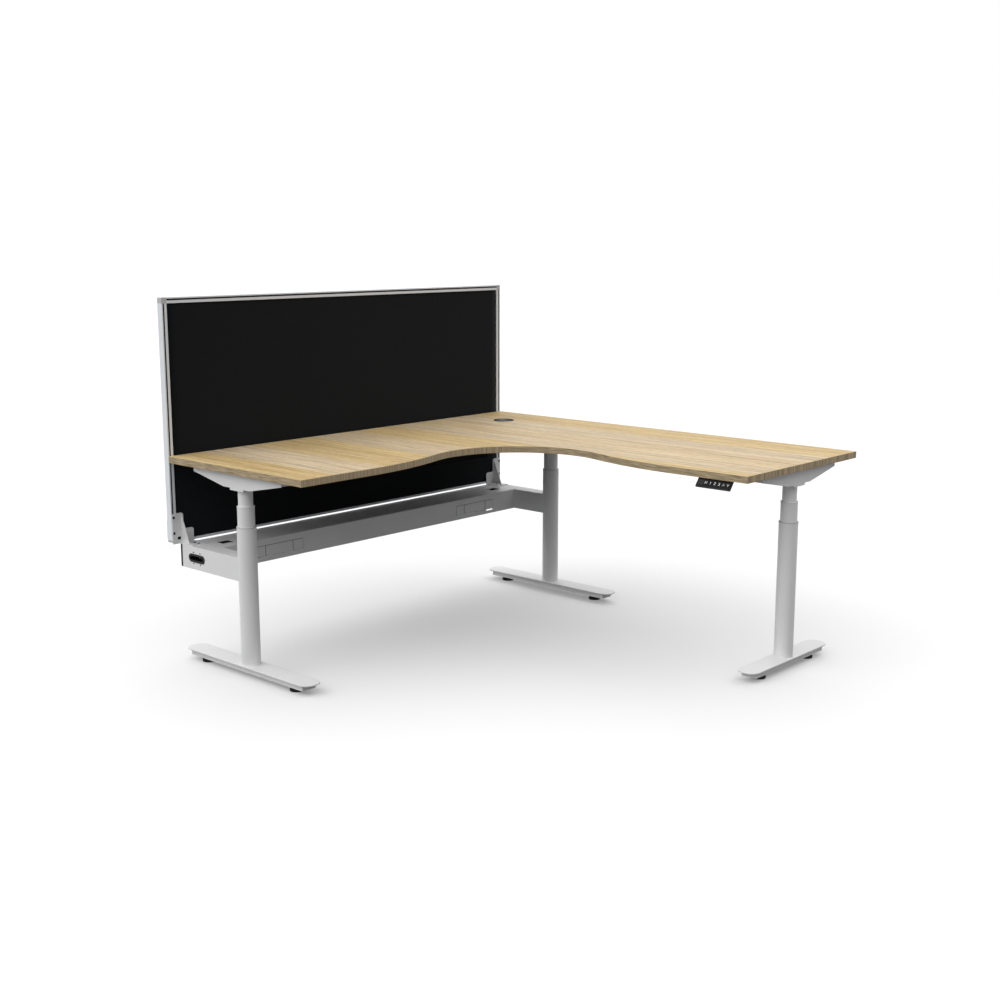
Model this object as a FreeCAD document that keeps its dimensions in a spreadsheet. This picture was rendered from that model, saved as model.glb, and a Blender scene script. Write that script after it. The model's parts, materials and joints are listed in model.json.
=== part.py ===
import FreeCAD, Part

import math
import os

import Sketcher

# Cubicle workstation: an L-shaped desktop on three telescopic lifting columns, with a base
# frame, a cable beam and a fabric screen. Millimetres, Z up. The origin lies on the floor in
# the middle of the part. X runs along the screen towards the corner, Y towards the screen.

DRIVING_SIZES = {
    # Desktop
    "desk_width": 1800,
    "desk_depth": 1800,
    "wing_depth": 750,
    "board_thickness": 25,
    "band_thickness": 2,
    "seat_radius": 330,
    "seat_bite": 80,
    "front_sweep_radius": 1200,
    "pilot_depth": 14,
    # Grommet
    "grommet_setback": 227,
    "grommet_hole_radius": 40,
    "grommet_flange_radius": 45,
    "grommet_flange_thickness": 2,
    "grommet_wall": 2.5,
    "grommet_ledge_width": 3.5,
    "grommet_ledge_thickness": 3,
    "grommet_sleeve_depth": 22,
    "cap_thickness": 4,
    "cap_spigot_depth": 4,
    "cap_slot_width": 26,
    "cap_slot_start": 6,
    "cap_slot_corner": 9,
    # Clearances
    "slide_clearance": 0.3,
    "running_clearance": 0.05,
    "panel_clearance": 0.2,
    "overrun": 4,
    # Columns
    "column_inset": 65,
    "column_setback": 361.5,
    "outer_tube_radius": 35,
    "middle_tube_radius": 31,
    "upper_tube_radius": 26.5,
    "tube_wall": 1.5,
    "middle_tube_length": 494,
    "middle_tube_rise": 84,
    "middle_tube_show": 74,
    "upper_tube_show": 66,
    "mouth_depth": 30,
    "mouth_lip": 3,
    "mouth_overhang": 1,
    "bearing_disc_thickness": 10,
    # Lifting screws
    "screw_tube_radius": 12,
    "screw_tube_length": 430,
    "screw_collar_radius": 18,
    "screw_collar_thickness": 6,
    "screw_cap_thickness": 14,
    "post_radius": 8,
    "post_bore_radius": 6,
    "post_length": 362,
    "post_head_length": 20,
    "post_head_radius": 8.45,
    "post_flange_radius": 28,
    "post_flange_thickness": 6,
    "post_nut_width": 24,
    "post_nut_thickness": 8,
    "drive_bar_radius": 5,
    "drive_bar_length": 445,
    "drive_nut_flange": 10,
    "drive_nut_plug": 25,
    "drive_nut_rise": 78,
    # Feet
    "foot_width": 84,
    "long_foot_length": 710,
    "short_foot_length": 530,
    "foot_corner_radius": 38,
    "foot_plate_thickness": 4,
    "foot_edge_round": 1.2,
    "channel_width": 62,
    "channel_depth": 20.5,
    "channel_inset": 32,
    "channel_wall": 2.5,
    "channel_corner": 4,
    "boss_radius": 10,
    "leveller_inset": 100,
    "leveller_radius": 25,
    "leveller_height": 14,
    "leveller_taper": 6,
    "leveller_gap": 3.5,
    "stud_radius": 5,
    "stud_bite": 2,
    # Side arms and cable beam
    "arm_width": 66,
    "arm_height": 86,
    "sheet_wall": 2,
    "arm_back_gap": 2,
    "arm_cap_depth": 11,
    "arm_cap_round": 2,
    "arm_spigot_depth": 8,
    "beam_top_height": 438,
    "beam_depth": 172,
    "beam_lip": 15,
    "beam_tie_width": 50,
    "passage_margin": 10,
    "knockout_length": 232,
    "knockout_height": 43,
    "knockout_inset": 144,
    "knockout_drop": 24.5,
    "knockout_end_length": 50,
    "knockout_gap": 1.8,
    "knockout_score_width": 2.6,
    "knockout_score_depth": 1.4,
    "knockout_flange": 4,
    "knockout_flange_thickness": 1.5,
    "pry_slot_length": 41,
    "pry_slot_height": 5,
    "lid_hole_length": 54,
    "lid_hole_width": 42,
    "lid_hole_corner": 3,
    "lid_hole_inset": 64,
    "lid_hole_setback": 99,
    "port_setback": 101,
    "port_half_length": 48,
    "port_radius": 15.5,
    "port_flange_thickness": 2,
    "port_sleeve_step": 5,
    "port_wall": 2.5,
    "port_sleeve_depth": 25,
    "port_rivet_reach": 20,
    "port_rivet_rise": 21,
    "rivet_radius": 1.6,
    "rivet_head_radius": 3.2,
    "rivet_head_height": 1.2,
    # Screen
    "screen_height": 900,
    "screen_thickness": 27,
    "screen_gap": 3,
    "screen_lift": 5,
    "bar_face": 21,
    "bar_lip": 4.5,
    "bar_groove_end": 11,
    "bar_groove_depth": 5,
    "bar_channel_depth": 8,
    "bar_channel_wall": 4,
    "bar_chamber_wall": 3,
    "low_bar_face": 9,
    "low_bar_floor": 3,
    "corner_round": 3,
    "corner_spigot_length": 9,
    "core_thickness": 15,
    "fabric_thickness": 1.8,
    # Screen brackets
    "bracket_thickness": 3,
    "bracket_edge_gap": 2,
    "bracket_foot_width": 92,
    "bracket_foot_height": 54,
    "bracket_neck_width": 48,
    "bracket_height": 115,
    "bracket_corner": 10,
    "bracket_flange_depth": 79,
    "gusset_inset": 38.5,
    "gusset_depth": 45,
    "gusset_rise": 107,
    "bracket_screw_inset": 6,
    "bracket_upper_screw": 100,
    "bracket_lower_screw": 41,
    "bracket_window_inset": 20,
    "bracket_window_rise": 14,
    "bracket_window_width": 16,
    "bracket_window_height": 12,
    "flange_screw_start": 43,
    "flange_screw_pitch": 24,
    "clamp_width": 48,
    "clamp_height": 69,
    "clamp_rise": 19,
    "clamp_thickness": 3,
    # Screws
    "frame_screw_radius": 2.5,
    "frame_screw_head_radius": 5,
    "frame_screw_head_height": 2,
    "frame_screw_length": 12,
    "board_screw_radius": 2,
    "board_screw_head_radius": 4.5,
    "board_screw_head_height": 3,
    # Support arms, rails and drives
    "support_length": 500,
    "support_width": 76,
    "support_wall": 2.5,
    "support_end_depth": 20,
    "support_depth": 55,
    "support_flat_length": 150,
    "head_plate_thickness": 8,
    "head_plate_length": 75,
    "board_screw_reach": 200,
    "board_screw_offset": 22,
    "gearbox_width": 66,
    "gearbox_length": 64,
    "gearbox_height": 50,
    "gearbox_corner": 6,
    "motor_radius": 20,
    "motor_rise": 30,
    "motor_length": 88,
    "rail_width": 30,
    "rail_height": 20,
    "rail_wall": 2,
    "rail_near_setback": 310,
    "rail_far_setback": 480,
    # Control box
    "control_length": 300,
    "control_depth": 110,
    "control_height": 34,
    "control_corner": 8,
    "control_setback": 510,
    "socket_width": 16,
    "socket_height": 12,
    "socket_depth": 9,
    "socket_pitch": 40,
    # Keypad
    "keypad_length": 138,
    "keypad_end_gap": 64,
    "keypad_back": 60,
    "keypad_recess": 5,
    "keypad_face_drop": 25,
    "keypad_face_run": 19,
    "keypad_brow": 2,
    "keypad_thickness": 11,
    "keypad_flange_thickness": 4,
    "keypad_end_round": 5,
    "key_size": 14,
    "key_corner": 3.5,
    "key_pitch": 17.5,
    "key_thickness": 2.6,
    "key_edge_round": 0.8,
    "key_well_depth": 2.4,
    "key_proud": 1.2,
    "first_key": 40.5,
    "window_margin": 5,
    "window_length": 26,
    "window_height": 20,
    "window_thickness": 1.2,
}

UP = FreeCAD.Vector(0, 0, 1)
QUARTER_TURN = 90
HALF_TURN = 180
FULL_TURN = 360
CAP_SLOT_DIRECTION = -48
KEY_COUNT = 6
SOCKET_COUNT = 5
NUT_SIDES = 6
BAY_COUNT = 3

document = FreeCAD.newDocument("workstation")
sheet = document.addObject("Spreadsheet::Sheet", "sizes")
for row, (alias, value) in enumerate(DRIVING_SIZES.items(), start=1):
    sheet.set(f"A{row}", alias)
    sheet.set(f"B{row}", str(value))
    sheet.setAlias(f"B{row}", alias)
document.recompute()


class Size:
    """A size that carries both its value and the sheet formula that gives it."""

    def __init__(self, value, formula):
        self.value = float(value)
        self.formula = formula

    def combine(self, other, sign, value):
        text = other.formula if isinstance(other, Size) else repr(other)
        return Size(value, f"({self.formula} {sign} {text})")

    def __add__(self, other):
        return self.combine(other, "+", self.value + other.value)

    def __sub__(self, other):
        return self.combine(other, "-", self.value - other.value)

    def __mul__(self, other):
        return self.combine(other, "*", self.value * number(other))

    def __truediv__(self, other):
        return self.combine(other, "/", self.value / number(other))

    def __neg__(self):
        return self * -1

    def root(self):
        return Size(math.sqrt(self.value), f"sqrt({self.formula})")


def number(thing):
    return thing.value if isinstance(thing, Size) else thing


class Sizes:
    """The sheet's driving sizes by name."""

    def __init__(self):
        for alias in DRIVING_SIZES:
            setattr(self, alias, Size(sheet.get(alias), f"sizes.{alias}"))


ZERO = Size(0, "0")
s = Sizes()
FIT = 1e-4 * s.desk_depth.value
nodes = []
cuts = []


# Helpers for placing, sketching and the solid features

def bind(item, path, size):
    item.setExpression(path, size.formula)


def put(item, x=ZERO, y=ZERO, z=ZERO, rotation=FreeCAD.Rotation()):
    item.Placement = FreeCAD.Placement(FreeCAD.Vector(x.value, y.value, z.value), rotation)
    bind(item, "Placement.Base.x", x)
    bind(item, "Placement.Base.y", y)
    bind(item, "Placement.Base.z", z)


def axes(x_direction, y_direction, z_direction):
    """The rotation that takes the three axes to these directions."""
    vectors = [FreeCAD.Vector(*direction) for direction in (x_direction, y_direction, z_direction)]
    return FreeCAD.Rotation(*vectors, "XYZ")


def turned(degrees):
    return FreeCAD.Rotation(UP, degrees)


def new_body(label):
    body = document.addObject("PartDesign::Body", label)
    body.Label = label
    return body


def node(item):
    nodes.append(item)
    return item


def group(label, members):
    """One node that holds several separate solids."""
    compound = document.addObject("Part::Compound", label)
    compound.Label = label
    compound.Links = members
    return node(compound)


def copy_of(master, label):
    link = document.addObject("App::Link", label)
    link.LinkedObject = master
    return link


def sketch_on(body, plane, name, offset=ZERO):
    """A sketch on one of the body's own origin planes, moved along the plane's normal."""
    sketch = body.newObject("Sketcher::SketchObject", f"{body.Name}_{name}")
    support = next(item for item in body.Origin.OriginFeatures if item.Role == plane)
    sketch.AttachmentSupport = [(support, "")]
    sketch.MapMode = "FlatFace"
    bind(sketch, "AttachmentOffset.Base.z", offset)
    return sketch


def hold(sketch, kind, size, *where):
    index = sketch.addConstraint(Sketcher.Constraint(kind, *where, size.value))
    bind(sketch, f"Constraints[{index}]", size)


def hold_point(sketch, geometry, end, x, y):
    """Dimension one point from the sketch's origin."""
    if x is ZERO:
        sketch.addConstraint(Sketcher.Constraint("PointOnObject", geometry, end, -2))
    else:
        hold(sketch, "DistanceX", x, -1, 1, geometry, end)
    if y is ZERO:
        sketch.addConstraint(Sketcher.Constraint("PointOnObject", geometry, end, -1))
    else:
        hold(sketch, "DistanceY", y, -1, 1, geometry, end)


def arc_between(start, end, centre, radius):
    """The shorter arc from start to end, and which of its ends is the start."""
    first = math.atan2(start.y - centre.y, start.x - centre.x)
    last = math.atan2(end.y - centre.y, end.x - centre.x)
    circle = Part.Circle(centre, UP, radius)
    if math.sin(last - first) > 0:
        return Part.ArcOfCircle(circle, first, last), (1, 2)
    return Part.ArcOfCircle(circle, last, first), (2, 1)


def outline(sketch, points, arcs=None):
    """A closed outline. arcs gives, for the edge that leaves a point, its centre and radius."""
    arcs = arcs or {}
    places = [FreeCAD.Vector(x.value, y.value, 0) for x, y in points]
    edges = []
    for number_, start in enumerate(places):
        end = places[(number_ + 1) % len(places)]
        if number_ in arcs:
            centre_x, centre_y, radius = arcs[number_]
            centre = FreeCAD.Vector(centre_x.value, centre_y.value, 0)
            geometry, ends = arc_between(start, end, centre, radius.value)
            index = sketch.addGeometry(geometry, False)
            hold(sketch, "Radius", radius, index)
        else:
            ends = (1, 2)
            index = sketch.addGeometry(Part.LineSegment(start, end), False)
        edges.append((index, ends))
    for number_, (x, y) in enumerate(points):
        index, ends = edges[number_]
        before, ends_before = edges[number_ - 1]
        sketch.addConstraint(Sketcher.Constraint("Coincident", before, ends_before[1], index, ends[0]))
        hold_point(sketch, index, ends[0], x, y)


def rectangle(sketch, low_x, low_y, high_x, high_y):
    outline(sketch, [(low_x, low_y), (high_x, low_y), (high_x, high_y), (low_x, high_y)])


def rounded_rectangle(sketch, low_x, low_y, high_x, high_y, radius):
    points = [
        (low_x + radius, low_y),
        (high_x - radius, low_y),
        (high_x, low_y + radius),
        (high_x, high_y - radius),
        (high_x - radius, high_y),
        (low_x + radius, high_y),
        (low_x, high_y - radius),
        (low_x, low_y + radius),
    ]
    arcs = {
        1: (high_x - radius, low_y + radius, radius),
        3: (high_x - radius, high_y - radius, radius),
        5: (low_x + radius, high_y - radius, radius),
        7: (low_x + radius, low_y + radius, radius),
    }
    outline(sketch, points, arcs)


def circle(sketch, x, y, radius):
    centre = FreeCAD.Vector(x.value, y.value, 0)
    index = sketch.addGeometry(Part.Circle(centre, UP, radius.value), False)
    hold(sketch, "Radius", radius, index)
    hold_point(sketch, index, 3, x, y)


def obround(sketch, x, y, half_length, radius):
    """A slot along the sketch's X axis, half_length from its middle to each tip."""
    reach = half_length - radius
    arcs = []
    for side, first in ((-1, math.pi / 2), (1, -math.pi / 2)):
        centre = FreeCAD.Vector(x.value + side * reach.value, y.value, 0)
        arc = Part.ArcOfCircle(Part.Circle(centre, UP, radius.value), first, first + math.pi)
        index = sketch.addGeometry(arc, False)
        arcs.append(index)
        hold_point(sketch, index, 3, x + reach * side, y)
    left, right = arcs
    hold(sketch, "Radius", radius, left)
    sketch.addConstraint(Sketcher.Constraint("Equal", left, right))
    for side, (left_end, right_end) in ((1, (1, 2)), (-1, (2, 1))):
        level = y.value + side * radius.value
        start = FreeCAD.Vector(x.value - reach.value, level, 0)
        end = FreeCAD.Vector(x.value + reach.value, level, 0)
        line = sketch.addGeometry(Part.LineSegment(start, end), False)
        sketch.addConstraint(Sketcher.Constraint("Tangent", line, 1, left, left_end))
        sketch.addConstraint(Sketcher.Constraint("Tangent", line, 2, right, right_end))


def pad(body, sketch, length, reverse=False):
    feature = body.newObject("PartDesign::Pad", f"{sketch.Name}_pad")
    feature.Profile = sketch
    feature.Reversed = reverse
    bind(feature, "Length", length)
    sketch.Visibility = False
    return feature


def pocket(body, sketch, depth, along_normal=False):
    feature = body.newObject("PartDesign::Pocket", f"{sketch.Name}_pocket")
    feature.Profile = sketch
    feature.Reversed = along_normal
    bind(feature, "Length", depth)
    sketch.Visibility = False
    cuts.append(feature)
    return feature


def revolve(body, points, arcs=None):
    """Turn a half section, given as radius and height, about the body's Z axis."""
    sketch = sketch_on(body, "XZ_Plane", "section")
    outline(sketch, points, arcs)
    feature = body.newObject("PartDesign::Revolution", f"{body.Name}_turned")
    feature.Profile = sketch
    feature.ReferenceAxis = (sketch, ["V_Axis"])
    feature.Angle = FULL_TURN
    sketch.Visibility = False
    return feature


def round_edges(body, feature, radius, chosen):
    """Fillet the edges of a feature that the test picks."""
    document.recompute()
    names = [f"Edge{index}" for index, edge in enumerate(feature.Shape.Edges, start=1) if chosen(edge)]
    fillet = body.newObject("PartDesign::Fillet", f"{feature.Name}_fillet")
    fillet.Base = (feature, names)
    bind(fillet, "Radius", radius)
    return fillet


def level_edge(height):
    """A test for edges that lie flat at one height of their body."""
    def chosen(edge):
        box = edge.BoundBox
        return abs(box.ZMin - height.value) < FIT and abs(box.ZMax - height.value) < FIT
    return chosen


# Places that several pieces share, measured from the back corner of the desktop

back_reach = s.screen_gap + s.screen_thickness + s.clamp_thickness + s.frame_screw_head_height
corner_x = s.desk_width / 2
corner_y = (s.desk_depth - back_reach) / 2
left_end_x = corner_x - s.desk_width
right_end_y = corner_y - s.desk_depth
channel_bottom = s.leveller_height + s.leveller_gap
plate_underside = channel_bottom + s.channel_depth
foot_top = plate_underside + s.foot_plate_thickness
arm_bottom = s.beam_top_height - s.arm_height
middle_bottom = foot_top + s.middle_tube_rise
head_plate_top = middle_bottom + s.middle_tube_length + s.mouth_lip + s.upper_tube_show
board_underside = head_plate_top + s.support_depth
desk_height = board_underside + s.board_thickness

column_places = {
    "left": (left_end_x + s.column_inset, corner_y - s.column_setback, 0),
    "corner": (corner_x - s.column_inset, corner_y - s.column_setback, 0),
    "right": (corner_x - s.column_setback, right_end_y + s.column_inset, QUARTER_TURN),
}


# Feet: a rounded top plate on a channel, with two bosses for the levelling feet

def make_foot(label, length):
    body = new_body(label)
    half_width = s.foot_width / 2
    half_length = length / 2
    reach = half_length - s.leveller_inset
    plate = sketch_on(body, "XY_Plane", "plate", plate_underside)
    rounded_rectangle(plate, -half_width, -half_length, half_width, half_length, s.foot_corner_radius)
    plate_pad = pad(body, plate, s.foot_plate_thickness)
    round_edges(body, plate_pad, s.foot_edge_round, level_edge(foot_top))
    wall_x = s.channel_width / 2
    wall_y = half_length - s.channel_inset
    channel = sketch_on(body, "XY_Plane", "channel", channel_bottom)
    rounded_rectangle(channel, -wall_x, -wall_y, wall_x, wall_y, s.channel_corner)
    inner_x = wall_x - s.channel_wall
    inner_y = wall_y - s.channel_wall
    inner_corner = s.channel_corner - s.channel_wall
    rounded_rectangle(channel, -inner_x, -inner_y, inner_x, inner_y, inner_corner)
    pad(body, channel, s.channel_depth)
    bosses = sketch_on(body, "XY_Plane", "bosses", channel_bottom)
    bores = sketch_on(body, "XY_Plane", "bores", channel_bottom - s.overrun)
    for side in (-1, 1):
        circle(bosses, ZERO, reach * side, s.boss_radius)
        circle(bores, ZERO, reach * side, s.stud_radius + s.running_clearance)
    pad(body, bosses, s.channel_depth)
    pocket(body, bores, s.overrun + s.channel_depth + s.stud_bite, along_normal=True)
    post_hole = sketch_on(body, "XY_Plane", "post_hole", plate_underside - s.overrun)
    circle(post_hole, ZERO, ZERO, s.post_radius)
    pocket(body, post_hole, s.overrun + s.foot_plate_thickness + s.overrun, along_normal=True)
    return node(body)


foot_lengths = {
    "left": s.long_foot_length,
    "corner": s.long_foot_length,
    "right": s.short_foot_length,
}
for name, (x, y, turn) in column_places.items():
    put(make_foot(f"foot_{name}", foot_lengths[name]), x, y, ZERO, turned(turn))


# Levelling feet: a round pad with a threaded stud

def make_leveller(label):
    body = new_body(label)
    pad_top = s.leveller_height
    shoulder = s.leveller_height - s.leveller_taper
    collar = s.boss_radius
    stud_top = plate_underside + s.stud_bite / 2
    revolve(body, [
        (ZERO, ZERO),
        (s.leveller_radius, ZERO),
        (s.leveller_radius, shoulder),
        (collar, pad_top),
        (s.stud_radius, pad_top),
        (s.stud_radius, stud_top),
        (ZERO, stud_top),
    ])
    return node(body)


leveller_places = []
for name, (x, y, turn) in column_places.items():
    reach = foot_lengths[name] / 2 - s.leveller_inset
    for side in (-1, 1):
        leveller_places.append((x + reach * side, y) if turn else (x, y + reach * side))
for index, (x, y) in enumerate(leveller_places, start=1):
    put(make_leveller(f"leveller_{index}"), x, y)


# Telescopic columns: three nested tubes with a two-stage lifting screw inside

outer_bore = s.outer_tube_radius - s.tube_wall
middle_bore = s.middle_tube_radius - s.tube_wall
upper_bore = s.upper_tube_radius - s.tube_wall
outer_tube_length = s.middle_tube_rise + s.middle_tube_length - s.middle_tube_show
outer_tube_top = foot_top + outer_tube_length
disc_top = middle_bottom + s.bearing_disc_thickness
upper_bottom = disc_top + s.drive_nut_rise
upper_tube_length = head_plate_top - upper_bottom


def make_tube(label, radius, length):
    body = new_body(label)
    ring = sketch_on(body, "XY_Plane", "ring")
    circle(ring, ZERO, ZERO, radius)
    circle(ring, ZERO, ZERO, radius - s.tube_wall)
    pad(body, ring, length)
    return node(body)


def make_middle_tube(label):
    """The tube, its guide in the outer bore below and its lipped mouth above."""
    body = new_body(label)
    guide = outer_bore - s.slide_clearance
    disc_bore = s.post_head_radius + s.slide_clearance
    mouth = s.upper_tube_radius + s.slide_clearance
    lip = s.middle_tube_radius + s.mouth_overhang
    mouth_bottom = s.middle_tube_length - s.mouth_depth
    lip_top = s.middle_tube_length + s.mouth_lip
    revolve(body, [
        (disc_bore, ZERO),
        (guide, ZERO),
        (guide, s.bearing_disc_thickness),
        (s.middle_tube_radius, s.bearing_disc_thickness),
        (s.middle_tube_radius, s.middle_tube_length),
        (lip, s.middle_tube_length),
        (lip, lip_top - s.mouth_overhang),
        (lip - s.mouth_overhang, lip_top),
        (mouth, lip_top),
        (mouth, mouth_bottom),
        (middle_bore, mouth_bottom),
        (middle_bore, s.bearing_disc_thickness),
        (disc_bore, s.bearing_disc_thickness),
    ])
    return node(body)


def make_screw_tube(label):
    """The hollow screw: its foot on the disc, its cap round the motor's drive bar."""
    body = new_body(label)
    bore = s.post_head_radius + s.running_clearance
    cap_bore = s.drive_bar_radius + s.slide_clearance
    cap_bottom = s.screw_tube_length - s.screw_cap_thickness
    revolve(body, [
        (bore, ZERO),
        (s.screw_collar_radius, ZERO),
        (s.screw_collar_radius, s.screw_collar_thickness),
        (s.screw_tube_radius, s.screw_collar_thickness),
        (s.screw_tube_radius, s.screw_tube_length),
        (cap_bore, s.screw_tube_length),
        (cap_bore, cap_bottom),
        (bore, cap_bottom),
    ])
    return node(body)


for name, (x, y, turn) in column_places.items():
    put(make_tube(f"column_outer_{name}", s.outer_tube_radius, outer_tube_length), x, y, foot_top)
    put(make_middle_tube(f"column_middle_{name}"), x, y, middle_bottom)
    put(make_tube(f"column_upper_{name}", s.upper_tube_radius, upper_tube_length), x, y, upper_bottom)
    put(make_screw_tube(f"screw_tube_{name}"), x, y, disc_top)


def at_columns(master, z):
    """A copy of the master at each column."""
    copies = []
    for name, (x, y, turn) in column_places.items():
        link = copy_of(master, f"{master.Name}_{name}")
        put(link, x, y, z, turned(turn))
        copies.append(link)
    return copies


# Glide collars in the mouths of the outer tubes

collar = new_body("collar")
collar_bore = s.middle_tube_radius + s.slide_clearance
collar_lip = s.outer_tube_radius + s.mouth_overhang
revolve(collar, [
    (collar_bore, -s.mouth_depth),
    (outer_bore, -s.mouth_depth),
    (outer_bore, ZERO),
    (collar_lip, ZERO),
    (collar_lip, s.mouth_lip - s.mouth_overhang),
    (collar_lip - s.mouth_overhang, s.mouth_lip),
    (collar_bore, s.mouth_lip),
])
group("glide_collars", at_columns(collar, outer_tube_top))

# Base posts: the fixed inner stage of each lifting screw, through the foot plate to a nut

post = new_body("post")
post_head_start = s.post_length - s.post_head_length
post_end = -(s.foot_plate_thickness + s.post_nut_thickness)
revolve(post, [
    (s.post_bore_radius, post_end),
    (s.post_radius, post_end),
    (s.post_radius, ZERO),
    (s.post_flange_radius, ZERO),
    (s.post_flange_radius, s.post_flange_thickness),
    (s.post_radius, s.post_flange_thickness),
    (s.post_radius, post_head_start),
    (s.post_head_radius, post_head_start),
    (s.post_head_radius, s.post_length),
    (s.post_bore_radius, s.post_length),
])
group("base_posts", at_columns(post, foot_top))

# Drive nuts: a plug in the lower end of each upper tube, guided in the middle tube

drive_nut = new_body("drive_nut")
nut_bore = s.screw_tube_radius + s.slide_clearance
nut_guide = middle_bore - s.slide_clearance
revolve(drive_nut, [
    (nut_bore, -s.drive_nut_flange),
    (nut_guide, -s.drive_nut_flange),
    (nut_guide, ZERO),
    (upper_bore, ZERO),
    (upper_bore, s.drive_nut_plug),
    (nut_bore, s.drive_nut_plug),
])
group("drive_nuts", at_columns(drive_nut, upper_bottom))


# Support arms: folded sheet channels with tapering ends, on a head plate

def make_support_arm(label):
    body = new_body(label)
    half_length = s.support_length / 2
    half_flat = s.support_flat_length / 2
    half_width = s.support_width / 2
    inner = half_width - s.support_wall
    side = sketch_on(body, "YZ_Plane", "side", -half_width)
    outline(side, [
        (-half_length, ZERO),
        (-half_length, -s.support_end_depth),
        (-half_flat, -s.support_depth),
        (half_flat, -s.support_depth),
        (half_length, -s.support_end_depth),
        (half_length, ZERO),
    ])
    pad(body, side, s.support_width)
    hollow = sketch_on(body, "YZ_Plane", "hollow", -inner)
    past_end = half_length + s.overrun
    rectangle(hollow, -past_end, -(s.support_depth + s.overrun), past_end, -s.support_wall)
    pocket(body, hollow, inner * 2, along_normal=True)
    head = sketch_on(body, "XY_Plane", "head", -s.support_depth)
    half_head = s.head_plate_length / 2
    rectangle(head, -half_width, -half_head, half_width, half_head)
    circle(head, ZERO, ZERO, s.upper_tube_radius)
    pad(body, head, s.head_plate_thickness, reverse=True)
    holes = sketch_on(body, "XY_Plane", "holes", s.overrun)
    for x_side in (-1, 1):
        for y_side in (-1, 1):
            x = s.board_screw_offset * x_side
            circle(holes, x, s.board_screw_reach * y_side, s.board_screw_radius + s.slide_clearance)
    pocket(body, holes, s.overrun + s.support_wall)
    return node(body)


for name, (x, y, turn) in column_places.items():
    put(make_support_arm(f"support_arm_{name}"), x, y, board_underside, turned(turn))

# Gear motors on the head plates, each with the bar that turns its screw

gear_motor = new_body("gear_motor")
gearbox = sketch_on(gear_motor, "XY_Plane", "gearbox")
gearbox_x = s.gearbox_width / 2
gearbox_y = s.gearbox_length / 2
rounded_rectangle(gearbox, -gearbox_x, -gearbox_y, gearbox_x, gearbox_y, s.gearbox_corner)
pad(gear_motor, gearbox, s.gearbox_height)
motor = sketch_on(gear_motor, "XZ_Plane", "motor", gearbox_y - s.gearbox_corner)
circle(motor, ZERO, s.motor_rise, s.motor_radius)
pad(gear_motor, motor, s.motor_length + s.gearbox_corner)
drive_bar = sketch_on(gear_motor, "XY_Plane", "drive_bar")
circle(drive_bar, ZERO, ZERO, s.drive_bar_radius)
pad(gear_motor, drive_bar, s.drive_bar_length, reverse=True)
group("gear_motors", at_columns(gear_motor, head_plate_top))

# Screws that hold the board on the support arms

board_screw = new_body("board_screw")
revolve(board_screw, [
    (ZERO, -s.board_screw_head_height),
    (s.board_screw_head_radius / 2, -s.board_screw_head_height),
    (s.board_screw_head_radius, -s.board_screw_head_height / 2),
    (s.board_screw_head_radius, ZERO),
    (s.board_screw_radius, ZERO),
    (s.board_screw_radius, s.support_wall + s.pilot_depth),
    (ZERO, s.support_wall + s.pilot_depth),
])
board_screw_places = []
for name, (x, y, turn) in column_places.items():
    for one in (-1, 1):
        for other in (-1, 1):
            across = s.board_screw_offset * one
            along = s.board_screw_reach * other
            place = (x + along, y + across) if turn else (x + across, y + along)
            board_screw_places.append(place)
board_screws = []
for index, (x, y) in enumerate(board_screw_places, start=1):
    link = copy_of(board_screw, f"board_screw_{index}")
    put(link, x, y, board_underside - s.support_wall)
    board_screws.append(link)
group("worktop_screws", board_screws)

# Desktop board and edge band: both follow the same swept outline

joined_radius = s.front_sweep_radius + s.seat_radius
seat_centre = s.wing_depth + s.seat_radius - s.seat_bite
sweep_start = seat_centre + (s.seat_bite * (joined_radius * 2 - s.seat_bite)).root()
sweep_centre = s.front_sweep_radius - s.wing_depth


def desk_outline(sketch, inset):
    """The L outline from the back corner, drawn inset from the finished edge."""
    sweep = s.front_sweep_radius - inset
    seat = s.seat_radius + inset
    front = s.wing_depth - inset
    meet = seat / joined_radius
    near = seat_centre - (sweep_centre + seat_centre) * meet
    far = seat_centre + (sweep_start - seat_centre) * meet
    width = s.desk_width - inset
    depth = s.desk_depth - inset
    edge = ZERO if inset is ZERO else -inset
    points = [
        (edge, edge),
        (-width, edge),
        (-width, -front),
        (-sweep_start, -front),
        (-far, -near),
        (-near, -far),
        (-front, -sweep_start),
        (-front, -depth),
        (edge, -depth),
    ]
    arcs = {
        3: (-sweep_start, sweep_centre, sweep),
        4: (-seat_centre, -seat_centre, seat),
        5: (sweep_centre, -sweep_start, sweep),
    }
    outline(sketch, points, arcs)


worktop = new_body("worktop")
board = sketch_on(worktop, "XY_Plane", "board")
desk_outline(board, s.band_thickness)
circle(board, -s.grommet_setback, -s.grommet_setback, s.grommet_hole_radius)
pad(worktop, board, s.board_thickness)
pilots = sketch_on(worktop, "XY_Plane", "pilots", -s.overrun)
for x, y in board_screw_places:
    circle(pilots, x - corner_x, y - corner_y, s.board_screw_radius)
pocket(worktop, pilots, s.overrun + s.pilot_depth, along_normal=True)
put(node(worktop), corner_x, corner_y, board_underside)

edge_band = new_body("edge_band")
band = sketch_on(edge_band, "XY_Plane", "band")
desk_outline(band, ZERO)
desk_outline(band, s.band_thickness)
pad(edge_band, band, s.board_thickness)
put(node(edge_band), corner_x, corner_y, board_underside)

# Grommet: a flanged ring and a cap that turns in it, with a slot for cables

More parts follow.
